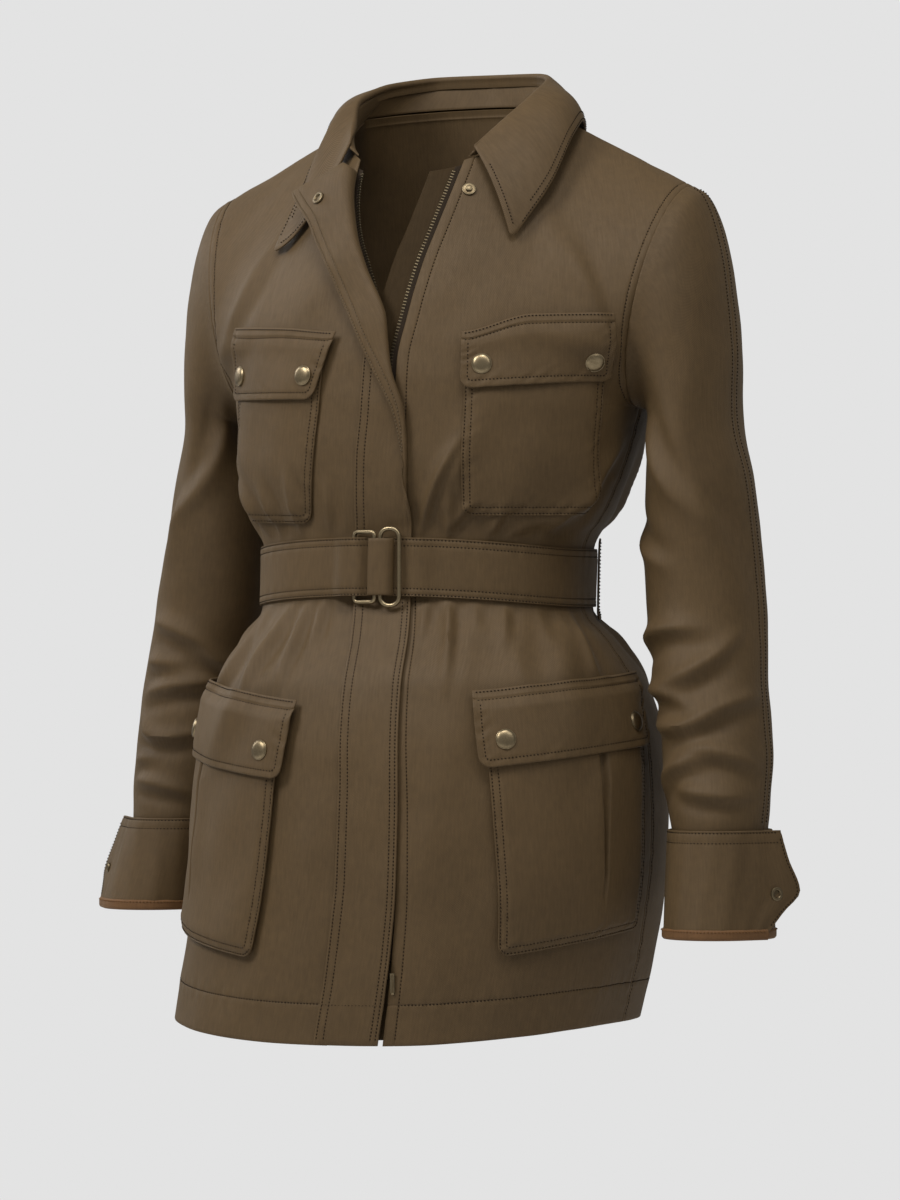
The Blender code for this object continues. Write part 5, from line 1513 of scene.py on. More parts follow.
def patch_grid(patch, extra=()):
    width, length = patch_size(patch)
    near = np.array(PATCH_NEAR)

    def lines(size, count, more=()):
        middle = np.linspace(near[-1], size - near[-1], count)[1:-1]
        return np.unique(np.concatenate((near, middle, size - near, more)).round(6))

    return np.meshgrid(lines(width, PATCH_CROSS, extra), lines(length, PATCH_DROP))


def make_patch(patch, stand, extra=()):
    aside, below = patch_grid(patch, extra)
    out = stand(patch, aside, below)
    outer, inner = on_patch(patch, aside, below, out), on_patch(patch, aside, below, out - CLOTH)
    return shell(patch.name, outer, inner, np.stack((aside, -below), axis=-1))


def outline_path(patch, inset, top):
    """Distances along a patch's sides and foot at an inset, from one top corner to the other."""
    width, length = patch_size(patch)
    radius = max(PATCH_CORNER - inset, 0.0015)
    turn = np.linspace(0.0, math.pi / 2, 8)
    down = np.linspace(top, length - inset - radius, 30)
    foot = np.linspace(inset + radius, width - inset - radius, 50)
    round_in = inset + radius * (1 - np.cos(turn))
    round_down = length - inset - radius * (1 - np.sin(turn))
    aside = np.concatenate((np.full(30, inset), round_in, foot,
                            width - round_in[::-1], np.full(30, width - inset)))
    below = np.concatenate((down, round_down, np.full(50, length - inset), round_down[::-1], down[::-1]))
    return aside, below


def on_outline(patch, aside, below, out):
    """Points of a path on a patch, where the path has its own rounded corners."""
    width, length = patch_size(patch)
    place, height = patch_spot(patch, aside / width, below / length)
    return ring_skin(place, height, out)


def sew_patch(sewing, patch, stand, insets, top):
    for inset in insets:
        aside, below = outline_path(patch, inset, top)
        sewing.row(lambda out: on_outline(patch, aside, below, stand(patch, aside, below) + out))


def make_gusset(patch):
    """The strip that joins a hip pocket's edge to its panel, set in under the edge."""
    name = patch.name + "_gusset"
    aside, below = outline_path(patch, GUSSET_INSET, POCKET_TOP)
    shares = np.linspace(0.0, 1.0, 4)
    top = pocket_stand(patch, aside, below) - CLOTH - 0.0003
    nets = []
    for inset in (0.0, GUSSET_CLOTH):
        in_aside = aside + inset * np.sign(patch_size(patch)[0] / 2 - aside)
        nets.append(np.array([on_outline(patch, in_aside, below - inset, between(0.0002, top, share))
                              for share in shares]))
    uv = np.stack(np.meshgrid(run_along(np.stack((aside, below), axis=1)), shares * 0.004), axis=-1)
    return add_object(name, two_sided(name, *nets, uv), "olive_cotton_twill")


def collar_line(kind, share):
    """A point of the collar's fold line or edge; share runs from -1, right front, to 1, left front."""
    side = math.copysign(1.0, share)
    values = [float(smooth(COLLAR[side], kind + axis, abs(share))) for axis in ("_x", "_y", "_z")]
    return np.array(values) * (side, 1.0, 1.0)


def leaf_column(share, downs):
    """Points down the collar's leaf at one share along it, with the corner of its tip rounded."""
    fold, edge = collar_line("fold", share), collar_line("edge", share)
    inward = np.array((-fold[0], -fold[1], 0.0)) / math.hypot(fold[0], fold[1])
    lift = np.array((0.0, 0.0, COLLAR_CROWN)) - inward * COLLAR_CROWN
    crown = (fold + edge) / 2 + between(lift, np.array(RIGHT_END_CROWN), float(ease(-share, 0.8, 1.0)))
    tip = COLLAR_TIPS[math.copysign(1.0, share)]
    inside = max(tip - (1.0 - abs(share)) * COLLAR_SIDE, 0.0)
    drop = np.linalg.norm(edge - fold)
    downs = (downs * (1.0 - (tip - math.sqrt(tip ** 2 - inside ** 2)) / drop))[:, None]
    return fold * (1 - downs) ** 2 + crown * 2 * downs * (1 - downs) + edge * downs ** 2


def leaf_roll(share):
    """Points of the leaf where it rolls over its fold line to the inside of the neck."""
    fold, below = leaf_column(share, np.array((0.0, 0.02)))
    down = unit(below - fold)
    along = collar_line("fold", min(share + 0.01, 1.0)) - collar_line("fold", max(share - 0.01, -1.0))
    out = np.cross(down, along)
    out *= math.copysign(1.0, out[2]) / np.linalg.norm(out)
    turn = np.linspace(math.pi, 0.0, 9)[:-1, None]
    size = COLLAR_ROLL * (1.0 - 0.75 * float(ease(abs(share), 0.88, 1.0)))
    arc = fold - size * (down * np.sin(turn) + out * (1 - np.cos(turn)))
    tail = COLLAR_TAIL * (1.0 - float(ease(abs(share), 0.55, 0.85))) + 0.0004
    ends = arc[0] - np.array((0.0, 0.0, 1.0)) * (tail * np.array((1.0, 0.5)))[:, None]
    return np.concatenate((ends, arc))


def neck_edge(share):
    """The panels' neckline, from -1, right front, over the back, 0, to 1, left front."""
    side, amount = math.copysign(1.0, share), abs(share)
    if amount <= 0.5:
        return skin(side * SURFACES[True].neck * amount / 0.5, 0.0, 0.0, True)
    front = abs(left_edge(0.0) if side > 0 else right_edge(0.0)) + 0.004
    return skin(side * between(SURFACES[False].neck, front, (amount - 0.5) / 0.5), 0.0)


def collar_shares():
    middle = np.linspace(-1.0, 1.0, COLLAR_COLUMNS + 1)[1:-1]
    near = np.array((0.0, 0.0008, 0.002, 0.0036, 0.0055, 0.0075)) / COLLAR_SIDE
    inner = middle[np.abs(middle) < 1.0 - near[-1] - 0.004]
    return np.concatenate((near - 1.0, inner, 1.0 - near[::-1]))


Leaf = namedtuple("Leaf", "shares downs points normals")


def leaf_net():
    """The leaf's outer face from its roll to its edge, with the directions out of it."""
    shares = collar_shares()
    downs = np.unique(np.concatenate((np.linspace(0.0, 1.0, COLLAR_ROWS), (0.87, 0.90, 0.945, 0.965, 0.988))))
    leaf = np.array([np.concatenate((leaf_roll(share), leaf_column(share, downs))) for share in shares])
    leaf = leaf.transpose(1, 0, 2)
    normals = facing(grid_normals(leaf), (len(leaf) // 2, len(shares) // 2), (0, 1, 0))
    wave = COLLAR_WAVE * np.sin(9.0 * shares + 0.6)[None, :] * np.linspace(-0.3, 1.0, len(leaf))[:, None]
    return Leaf(shares, downs, leaf + normals * wave[..., None], normals)


def make_collar():
    """The leaf with its roll and rounded tips, and the stand that carries it."""
    shares, downs, leaf, normals = leaf_net()
    run = np.concatenate((np.linspace(-0.015, -0.001, len(leaf) - len(downs)), downs * COLLAR_DROP))
    uv = np.stack(np.meshgrid(shares * COLLAR_SIDE, -run), axis=-1)
    pieces = [shell("collar_leaf", leaf, leaf - normals * DOUBLE_CLOTH, uv)]
    ups = np.clip(np.concatenate(((0.0, 0.05), np.linspace(0.1, 0.9, STAND_ROWS), (0.95, 1.0))), 0.0, 1.0)
    feet = np.array([neck_edge(share) for share in shares]) + (0.0, 0.0, 2.5 * SEAM_GAP)
    heads = np.array([collar_line("fold", share) for share in shares]) - (0.0, 0.0, 3.0 * DOUBLE_CLOTH)
    stand = np.array([between(feet, heads, up) for up in ups])
    normals = facing(grid_normals(stand), (1, len(shares) // 2), (0, 1, 0))
    uv = np.stack(np.meshgrid(shares * COLLAR_SIDE, ups * STAND_HEIGHT), axis=-1)
    pieces.append(shell("collar_stand", stand, stand - normals * CLOTH, uv))
    return pieces


def leaf_line(net, shares, insets, out):
    """Points of a path on the leaf, from shares along it and distances in from its edge."""
    made = []
    for share, inset in zip(shares, insets):
        right = min(max(int(np.searchsorted(net.shares, share)), 1), len(net.shares) - 1)
        t = (share - net.shares[right - 1]) / (net.shares[right] - net.shares[right - 1])
        column, normal = (between(grid[-len(net.downs):, right - 1], grid[-len(net.downs):, right], t)
                          for grid in (net.points, net.normals))
        run = run_along(column)
        made.append(at_run(column + normal * out, run, run[-1] - inset))
    return np.array(made)


def sew_collar(sewing):
    """Rows along the leaf's outer edge and its two front ends."""
    net = leaf_net()
    for inset in COLLAR_ROWS_IN:
        end = 1.0 - (inset + 0.004) / COLLAR_SIDE
        shares = np.linspace(-end, end, 150)
        sewing.row(lambda out: leaf_line(net, shares, np.full(150, inset), out))
    for side in (1.0, -1.0):
        ends = np.full(30, side * (1.0 - COLLAR_END_ROW / COLLAR_SIDE))
        insets = np.linspace(0.006, COLLAR_DROP, 30)
        sewing.row(lambda out: leaf_line(net, ends, insets, out))


def armhole_normal(sign):
    rise = SHOULDER_TIP - lower_row(ARMPIT, False)[-1]
    return unit(np.array((rise[2], 0.0, -rise[0]))) * (sign, 1.0, 1.0)


def sleeve_ring(label, turns, step):
    """One ring of a sleeve. The first rings fan round from the armhole, the rest follow the arm."""
    sign, rows = SLEEVES[label]
    if step <= CAP_STEPS:
        foot = lower_row(ARMPIT, False)[-1]
        share_down = step / CAP_STEPS
        swing = math.pi / 2 * share_down
        away = armhole_normal(1) * SEAM_GAP * 1.5
        low = foot + (float(smooth(BODY, "lean_x", ARMPIT)) * sign, 0.0, 0.0) + away
        low += UNDERARM_RADIUS * np.array((math.sin(swing), 0.0, math.cos(swing) - 1.0))
        low[1] = between(foot[1], rows[0].y, share_down)
        high = away + (SHOULDER_TIP[0] + CAP_OUT[label] * math.sin(swing),
                       between(SHOULDER_TIP[1], rows[0].y, share_down),
                       CAP_FOOT + (SHOULDER_TIP[2] - CAP_FOOT) * math.cos(swing))
        points = between(low, high, ((1 - np.cos(turns)) / 2)[:, None])
        depth = np.where(np.sin(turns) > 0, ARMHOLE_FRONT_DEPTH, ARMHOLE_BACK_DEPTH)
        points[:, 1] -= between(depth, rows[0].half_y, share_down) * np.sin(turns)
    else:
        height = between(CAP_FOOT - UNDERARM_RADIUS, rows[-1].height, (step - CAP_STEPS) / SLEEVE_STEPS)
        x, y, half_x, half_y = (float(smooth(rows[::-1], column, height)) for column in Arm._fields[1:])
        points = np.stack((x - half_x * np.cos(turns), y - half_y * np.sin(turns),
                           np.full(len(turns), height)), axis=1)
    return points * (sign, 1.0, 1.0)


def sleeve_net(label, turns):
    """Points and outward directions of a sleeve's creased face along its rings at some turns round it."""
    last = CAP_STEPS + SLEEVE_STEPS
    rings = np.array([sleeve_ring(label, turns, step) for step in range(last + 1)])
    ahead = np.gradient(rings, axis=0)
    steps = with_edges(np.linspace(0.0, last, last * SLEEVE_FINE + 1))
    steps[1], steps[-2] = SLEEVE_STEP_INSET, last - SLEEVE_STEP_INSET
    index = np.minimum(steps.astype(int), last - 1)
    t = (steps - index)[:, None, None]
    rise = t * t * (3 - 2 * t)
    net = (rings[index] * (1 - rise) + rings[index + 1] * rise
           + ahead[index] * t * (1 - t) ** 2 - ahead[index + 1] * t * t * (1 - t))
    middle = len(turns) // 2
    outward = np.array((-math.cos(turns[middle]) * SLEEVES[label][0], -math.sin(turns[middle]), 0.0))
    normals = facing(grid_normals(net), (len(net) - 20, middle), outward)
    place = turns[None, :] / (2 * math.pi) * SLEEVE_GIRTH
    depth = sum(crease_depth(SLEEVE_CREASES[label], place + shift, net[..., 2])
                for shift in (-SLEEVE_GIRTH, 0.0, SLEEVE_GIRTH))
    scale = between(SLEEVE_CREASE_SCALE, SLEEVE_BACK_SCALE, ease(place, *SLEEVE_BACK_FROM))
    scale = scale * ease(np.abs(place - SLEEVE_QUIET[label]), *SLEEVE_QUIET_REACH)
    depth = scale * depth + ripple(place, net[..., 2])
    held = ease(steps, 0.2, 2.5) * (1.0 - 0.9 * ease(steps, last - 0.9, last))
    seam = 1.0 - SLEEVE_SEAM_HOLD * np.exp(-((turns - math.pi) / SLEEVE_SEAM_TURN) ** 2)
    net = net + normals * (depth * held[:, None] * seam[None, :])[..., None]
    return net, facing(grid_normals(net), (len(net) - 20, middle), outward), steps


def make_sleeves():
    pieces = []
    for label in SLEEVES:
        for part, first in (("front", 0.0), ("back", math.pi)):
            turns = first + with_edges(np.linspace(0.0, math.pi, SLEEVE_TURNS // 2 + 1))
            turns[1], turns[-2] = first + SLEEVE_TURN_INSET, first + math.pi - SLEEVE_TURN_INSET
            net, normals, steps = sleeve_net(label, turns)
            inner = net - normals * CLOTH
            lap = armhole_normal(SLEEVES[label][0]) * HEAD_LAP + normals[0] * HEAD_DIP
            net[0] -= lap
            inner[0] -= lap
            for edge, neighbour in ((0, 2), (-1, -3)):
                away = net[:, neighbour] - net[:, edge]
                away *= SEAM_GAP / 2 / np.linalg.norm(away, axis=1, keepdims=True)
                net[:, edge] += away
                inner[:, edge] += away
            uv = np.stack(np.meshgrid(turns / (2 * math.pi) * SLEEVE_GIRTH, -steps * SLEEVE_RUN), axis=-1)
            pieces.append(shell("sleeve_%s_%s" % (label, part), net, inner, uv))
    return pieces


def sew_sleeves(sewing):
    """Two rows beside each outer seam."""
    for label in SLEEVES:
        for offset in (-SLEEVE_ROW_TURN, SLEEVE_ROW_TURN):
            turns = math.pi + offset + np.array((-0.02, 0.0, 0.02))
            net, normals, _ = sleeve_net(label, turns)
            sewing.row(lambda out: (net + normals * out)[4:-6, 1])


def cuff_points(label, drop, column, out):
    """Points of a cuff's outer face moved out, by share down it and column along it."""
    drop, column, out = np.broadcast_arrays(np.asarray(drop, float), column, out)
    cuff = CUFFS[label]
    sign, rows = SLEEVES[label]
    x = between(smooth(rows[::-1], "x", cuff.top), cuff.foot_x, drop)
    y = between(smooth(rows[::-1], "y", cuff.top), cuff.foot_y, drop)
    half_x = between(CUFF_TOP_HALF[0], CUFF_FOOT_HALF[0], drop)
    half_y = between(CUFF_TOP_HALF[1], CUFF_FOOT_HALF[1], drop)
    share = np.minimum(column / CUFF_COLUMNS, 1.0)
    turn = np.radians(between(CUFF_UNDERLAP_TURN, CUFF_LEAVING_TURN, share))
    level = np.zeros(turn.shape)
    away = unit(np.stack((-np.cos(turn) / half_x, -np.sin(turn) / half_y, level), axis=-1))
    points = np.stack((x - half_x * np.cos(turn), y - half_y * np.sin(turn),
                       between(cuff.top, cuff.foot, drop)), axis=-1)
    along = np.stack((-away[..., 1], away[..., 0], level), axis=-1)
    tab = smooth(TAB_END, "length", np.clip(drop, 0.0, 1.0))
    past = np.maximum(column - CUFF_COLUMNS, 0.0) / TAB_COLUMNS * tab
    return (points + along * past[..., None] + away * out[..., None]) * (sign, 1.0, 1.0)


def cuff_relief(drop, column):
    """Sewn grooves and slight waves of a cuff."""
    down = drop * CUFF_HEIGHT
    sewn = groove(down, EDGE_STITCH) + groove(down, CUFF_SECOND_STITCH)
    broad = CUFF_BROAD_WAVE * np.sin(1.9 * column + 0.6) * np.sin(math.pi * drop)
    return sewn + broad + CUFF_FINE_WAVE * np.sin(4.3 * column + 5 * drop)


def make_cuffs():
    pieces = []
    columns = np.concatenate((np.linspace(0.0, CUFF_COLUMNS, CUFF_COLUMNS * CUFF_FINE + 1)[:-1],
                              np.linspace(CUFF_COLUMNS, CUFF_COLUMNS + TAB_COLUMNS, 16)))
    columns = np.concatenate((columns[:1], (0.06,), columns[1:-1], columns[-1:] - 0.05, columns[-1:]))
    drops = np.unique(np.concatenate(((0.0, 0.010), np.array(PATCH_NEAR[1:]) / CUFF_HEIGHT,
                                      np.linspace(0.2, 0.93, CUFF_ROWS - 12), (0.955, 0.97, 0.985, 1.0))))
    for label in CUFFS:
        across, down = np.meshgrid(columns, drops)
        out = cuff_relief(down, across)
        uv = np.stack((across * CUFF_COLUMN_RUN, -down * CUFF_HEIGHT), axis=-1)
        pieces.append(shell("cuff_" + label, cuff_points(label, down, across, out),
                            cuff_points(label, down, across, out - DOUBLE_CLOTH), uv))
        shares = np.array((0.0, 0.15, 0.35, 0.65, 0.85, 1.0))
        across, share = np.meshgrid(columns, shares)
        drop = BINDING_OVER - (BINDING_OVER + SEAM_GAP + BINDING_HEIGHT) * share
        below = np.stack((0 * share, 0 * share, drop), axis=-1)
        swell = BINDING_PROUD + BINDING_SWELL * np.sin(math.pi * share)
        outer = cuff_points(label, 1.0, across, swell) + below
        inner = cuff_points(label, 1.0, across, -DOUBLE_CLOTH - swell) + below
        uv = np.stack((across * CUFF_COLUMN_RUN, -share * BINDING_HEIGHT), axis=-1)
        pieces.append(shell("cuff_binding_" + label, outer, inner, uv,
                            "brown_binding_weave"))
    return pieces


def sew_cuffs(sewing):
    """Two rows at a cuff's top, one above its binding and one round its tab."""
    columns = np.linspace(0.3, CUFF_COLUMNS + TAB_COLUMNS - 0.3, 140)
    ends = np.linspace(0.06, 0.94, 40)
    for label in CUFFS:
        for drop in (EDGE_STITCH / CUFF_HEIGHT, CUFF_SECOND_STITCH / CUFF_HEIGHT):
            sewing.row(lambda out: cuff_points(label, drop, columns, cuff_relief(drop, columns) + out))
        last = CUFF_COLUMNS + TAB_COLUMNS * (1.0 - 0.003 / smooth(TAB_END, "length", ends))
        sewing.row(lambda out: cuff_points(label, ends, last, cuff_relief(ends, last) + out))
        first = np.full(40, 0.25)
        sewing.row(lambda out: cuff_points(label, ends, first, cuff_relief(ends, first) + out))


def sew_bindings(sewing):
    columns = np.linspace(0.2, CUFF_COLUMNS + TAB_COLUMNS - 0.2, 140)
    for label in CUFFS:
        middle = np.array((0.0, 0.0, BINDING_OVER - 0.0014))
        sewing.row(lambda out: cuff_points(label, 1.0, columns, BINDING_PROUD + BINDING_SWELL + out) + middle)


def belt_out(distance):
    """How far the belt's inner face stands off the cloth: it climbs over the fly and a ring."""
    over_fly = (ease(distance, BELT_FLY_REACH[0] - BELT_EASE, BELT_FLY_REACH[0])
                * (1 - ease(distance, BELT_FLY_REACH[1], BELT_FLY_REACH[1] + BELT_EASE)))
    over_ring = (ease(distance, BELT_RING_REACH[0] - BELT_EASE, BELT_RING_REACH[0])
                 * (1 - ease(distance, BELT_RING_REACH[1], BELT_RING_REACH[1] + BELT_EASE / 2)))
    return LAY_GAP + BELT_OVER_FLY * over_fly + (BELT_OVER_RING - BELT_OVER_FLY) * over_ring


def belt_girth():
    return 2 * float(reach(BELT_MIDDLE) + reach(BELT_MIDDLE, True))


def belt_relief(distance, height):
    edge = np.minimum(BELT_TOP - height, height - BELT_FOOT)
    wave = BELT_WAVE * np.sin(41 * distance + 60 * height) * ease(edge, 0.0, 0.01)
    sewn = groove(edge, EDGE_STITCH) + groove(edge, SECOND_STITCH)
    return sewn + wave + 0.7 * pucker(edge - SECOND_STITCH, distance)


def make_belt():
    distances = np.linspace(-0.5, 0.5, BELT_COLUMNS + 1) * belt_girth()
    near, width = np.array(PATCH_NEAR), BELT_TOP - BELT_FOOT
    ups = np.unique(np.concatenate((near, (0.018, 0.022, 0.026), width - near)).round(6)) + BELT_FOOT
    across, height = np.meshgrid(distances[:-1], ups)
    lie = belt_out(across)
    outer = ring_skin(across, height, lie + belt_relief(across, height) + BELT_CLOTH)
    uv = np.stack(np.meshgrid(distances, ups), axis=-1)
    return shell("belt", outer, ring_skin(across, height, lie), uv, closed=True)


def sew_belt(sewing):
    distances = np.linspace(-0.4999, 0.4999, 500) * belt_girth()
    for height in (BELT_FOOT + EDGE_STITCH, BELT_FOOT + SECOND_STITCH,
                   BELT_TOP - SECOND_STITCH, BELT_TOP - EDGE_STITCH):
        lie = belt_out(distances) + belt_relief(distances, height) + BELT_CLOTH
        sewing.row(lambda out: ring_skin(distances, height, lie + out))


def rounded(path, passes=3):
    """A path with its corners cut several times, which rounds it; its ends stay."""
    path = np.array(path)
    for _ in range(passes):
        cut = np.stack((between(path[:-1], path[1:], 0.25), between(path[:-1], path[1:], 0.75)), axis=1)
        path = np.concatenate((path[:1], cut.reshape(-1, 2)[1:-1], path[-1:]))
    return path


def make_keeper():
    """The short cloth piece that holds both rings' bars down on the belt."""
    path = rounded(((KEEPER_ENDS[0], KEEPER_FOOT), (KEEPER_ENDS[0] + 0.0014, KEEPER_INNER - 0.0012),
                    (KEEPER_FLAT[0], KEEPER_INNER), (KEEPER_FLAT[1], KEEPER_INNER),
                    (KEEPER_ENDS[1] - 0.0020, KEEPER_INNER - 0.0014), (KEEPER_ENDS[1], KEEPER_FOOT)))
    lean = unit(np.gradient(path, axis=0))
    ups = with_edges(np.linspace(BELT_FOOT + KEEPER_INSET, BELT_TOP - KEEPER_INSET, 16))
    inner = [skin(path[:, 0], up, path[:, 1]) for up in ups]
    outer = [skin(path[:, 0] - lean[:, 1] * CLOTH, up, path[:, 1] + lean[:, 0] * CLOTH) for up in ups]
    uv = np.stack(np.meshgrid(np.linspace(0.0, 0.024, len(path)), ups), axis=-1)
    return shell("belt_keeper", outer, inner, uv)


def ring_spot(ring, turn):
    """A point of a ring's wire as distances across and up from its middle, by the turn round it."""
    half = (ring.far - ring.near) / 2
    across, up = half - ring.corner, ring.half_height - ring.corner
    run = np.array((0.0, up, up + ring.corner * math.pi / 2, up + ring.corner * math.pi / 2 + across))
    quarter, left = divmod(turn, math.pi / 2)
    share = left / (math.pi / 2)
    distance = (share if quarter % 2 == 0 else 1.0 - share) * run[-1]
    if distance <= run[1]:
        spot = (half, distance)
    elif distance <= run[2]:
        angle = (distance - run[1]) / ring.corner
        spot = (across + ring.corner * math.cos(angle), up + ring.corner * math.sin(angle))
    else:
        spot = (across - (distance - run[2]), ring.half_height)
    return spot[0] * (1 if quarter in (0, 3) else -1), spot[1] * (1 if quarter in (0, 1) else -1)


def make_ring(ring, wire):
    """A wire ring: a torus drawn out to a rounded rectangle that leans between its two bars."""
    deselect()
    bpy.ops.mesh.primitive_torus_add(major_segments=96, minor_segments=12,
                                     major_radius=TORUS_RADIUS, minor_radius=wire)
    mesh = take_mesh(ring.name + "_wire")
    half, centre = (ring.far - ring.near) / 2, (ring.far + ring.near) / 2
    turns = np.linspace(0.0, 2 * math.pi, 193)[:-1]
    flat = np.array([ring_spot(ring, turn) for turn in turns])
    out = between(ring.near_out, ring.far_out, (flat[:, 0] + half) / (2 * half))
    line = skin(centre + flat[:, 0], BELT_MIDDLE, out) + np.stack((0 * out, 0 * out, flat[:, 1]), axis=1)
    ahead = unit(np.roll(line, -1, axis=0) - np.roll(line, 1, axis=0))
    normal = direction(lambda more: skin(np.array([centre]), BELT_MIDDLE, more))[0]
    for vertex in mesh.vertices:
        turn = math.atan2(vertex.co.y, vertex.co.x) % (2 * math.pi)
        index = int(round(turn / turns[1])) % len(turns)
        side = unit(np.cross(ahead[index], normal))
        lift = np.cross(side, ahead[index])
        past = math.hypot(vertex.co.x, vertex.co.y) - TORUS_RADIUS
        vertex.co = line[index] + side * past + lift * vertex.co.z
    work = bmesh.new()
    work.from_mesh(mesh)
    bmesh.ops.recalc_face_normals(work, faces=work.faces)
    work.to_mesh(mesh)
    work.free()
    smooth_mesh(mesh, WIRE_SHARP)
    return add_object(ring.name + "_wire", mesh, "antique_brass_worn", ring.name)


def loop_spots(place, across, height, out):
    """Points of a belt loop, which bows out over the belt."""
    knots = (LOOP_FOOT, BELT_FOOT - LOOP_CLEAR, BELT_MIDDLE, BELT_TOP + LOOP_CLEAR, LOOP_TOP)
    bow = np.interp(height, knots, LOOP_OFFSETS)
    return ring_skin(place + across, height, bow + out)


def make_loop(name, place):
    across, height = np.meshgrid(with_edges(np.linspace(-LOOP_HALF_WIDTH, LOOP_HALF_WIDTH, 7)),
                                 with_edges(np.linspace(LOOP_FOOT, LOOP_TOP, 28)))
    return shell(name, loop_spots(place, across, height, CLOTH), loop_spots(place, across, height, 0.0),
                 np.stack((across, height), axis=-1))


def sew_loops(sewing):
    heights = np.linspace(LOOP_FOOT + 0.001, LOOP_TOP - 0.001, 40)
    for place in LOOP_PLACES.values():
        for across in (LOOP_ROW - LOOP_HALF_WIDTH, LOOP_HALF_WIDTH - LOOP_ROW):
            sewing.row(lambda out: loop_spots(place, across, heights, CLOTH + out))


def snap_form(name, radius, insets):
    """A turned snap part: a disc whose top is set in and raised or sunk step by step."""
    deselect()
    bpy.ops.mesh.primitive_cylinder_add(vertices=32, radius=radius, depth=SNAP_RIM,
                                        location=(0.0, 0.0, SNAP_RIM / 2))
    edit_mode()
    select_faces_up(SNAP_RIM / 2)
    for inset, depth in insets:
        bpy.ops.mesh.inset(thickness=inset * radius, depth=depth)
    return take_mesh(name)


def place_snap(name, form, spot, finish_name="dark_brass"):
    mesh = form.copy()
    mesh.name = name + "_metal"
    return set_metal(mesh.name, mesh, spot, SNAP_SHARP, finish_name, name)


def make_snaps(sizes):
    cap = snap_form("cap_form", sizes.snap_radius, CAP_INSETS)
    socket = snap_form("socket_form", sizes.small_snap_radius, SOCKET_INSETS)
    stud = snap_form("stud_form", sizes.small_snap_radius, STUD_INSETS)
    for patch in FLAPS:
        width, length = patch_size(patch)
        for share, label in zip(SNAP_SHARES, ("inner", "outer")):
            aside, below = np.array([share * width]), np.array([SNAP_DROP * length])
            lie = flap_stand(patch, aside, below) - 0.0002
            place_snap(patch.name.replace("flap", "snap") + "_" + label, cap,
                       lambda out: on_outline(patch, aside, below, lie + out), "antique_brass_worn")
    row = fly_row(FLY_SNAP[0])
    along = np.array([between(row.roll + math.pi * row.radius, row.width, FLY_SNAP[1])])
    place_snap("snap_fly_top", socket, lambda out: fly_points(row, along, -FLY_CLOTH / 2 - SNAP_PROUD - out))
    front, height = FRONT_SNAP
    place_snap("snap_front_top", stud, lambda out: skin(np.array([front]), height, SNAP_PROUD + out))
    drop, share = TAB_SNAP
    column = np.array([CUFF_COLUMNS + TAB_COLUMNS * share])
    for label in CUFFS:
        place_snap("snap_cuff_" + label, socket,
                   lambda out: cuff_points(label, drop, column, SNAP_PROUD + out))
    for form in (cap, socket, stud):
        bpy.data.meshes.remove(form)


# Stitches take the darkened thread unless told otherwise: painted shade of the needle holes.
def sew(name, *rows, thread="olive_thread"):
    """Lays the stitches of a group of pieces."""
    sewing = Sewing(bpy.context.scene.jacket_sizes)
    for row in rows:
        row(sewing)
    return sewing.lay(name, thread)


def sizes_property(name, description, default):
    return FloatProperty(name=name, description=description, default=default,
                         min=0.0001, unit="LENGTH", precision=5)


def colour_property(name, description, default):
    return FloatVectorProperty(name=name, description=description, default=default,
                               min=0.0, max=1.0, subtype="COLOR")


class JacketSizes(bpy.types.PropertyGroup):
    """Sizes of the sewing and the small metal pieces."""
    stitch: sizes_property("Stitch", "Length of one stitch", 0.0017)
    stitch_gap: sizes_property("Stitch gap", "Gap between two stitches of a row", 0.0010)
    thread: sizes_property("Thread", "Diameter of the sewing thread", 0.00085)
    tooth_pitch: sizes_property("Tooth pitch", "Distance from one zip tooth to the next", 0.0025)
    snap_radius: sizes_property("Snap radius", "Radius of a flap's snap cap", 0.0075)
    small_snap_radius: sizes_property("Small snap radius", "Radius of the snaps on fly, front and cuffs",
                                      0.0050)
    ring_wire: sizes_property("Ring wire", "Radius of the belt rings' wire", 0.00165)


class JacketColours(bpy.types.PropertyGroup):
    """Colours of the cloth, the thread, the metal and the studio."""
    cotton_lit: colour_property("Cotton, lit", "Lighter tone of the cotton", (0.104, 0.0625, 0.0245))
    cotton_shade: colour_property("Cotton, shade", "Darker tone of the cotton", (0.064, 0.0385, 0.0150))
    # The thread matches the cloth; its colour is darker as painted shade of the needle holes along each row.
    thread: colour_property("Thread", "Sewing thread", (0.021, 0.013, 0.007))
    # A paler thread for the turned-back fly: painted highlight of its stitches on the lit side.
    pale_thread: colour_property("Pale thread", "Thread that shows on the turned-back fly",
                                 (0.135, 0.098, 0.058))
    binding: colour_property("Binding", "Binding of the cuffs", (0.170, 0.082, 0.030))
    tape: colour_property("Zip tape", "Tape of the zip", (0.030, 0.020, 0.012))
    brass: colour_property("Brass", "Rubbed brass", (0.35, 0.275, 0.165))
    brass_dark: colour_property("Brass, dark", "Darkened brass", (0.085, 0.058, 0.030))
    studio: colour_property("Studio", "Floor and background", (0.768, 0.768, 0.768))


class JACKET_OT_panels(bpy.types.Operator):
    """Lays the two fronts and the back with their creases and seams"""
    bl_idname = "jacket.panels"
    bl_label = "Fronts and back"

    def execute(self, context):
        front = FRONT_COLUMNS, FRONT_NECK_COLUMN, False
        panel("front_left", (1,), left_edge, *front)
        panel("front_right", (-1,), lambda z: -right_edge(z), *front)
        panel("back", (-1, 1), lambda z: 0.0, BACK_HALF_COLUMNS, BACK_NECK_COLUMN, True)
        sew("stitches_body", sew_panels)
        return {"FINISHED"}


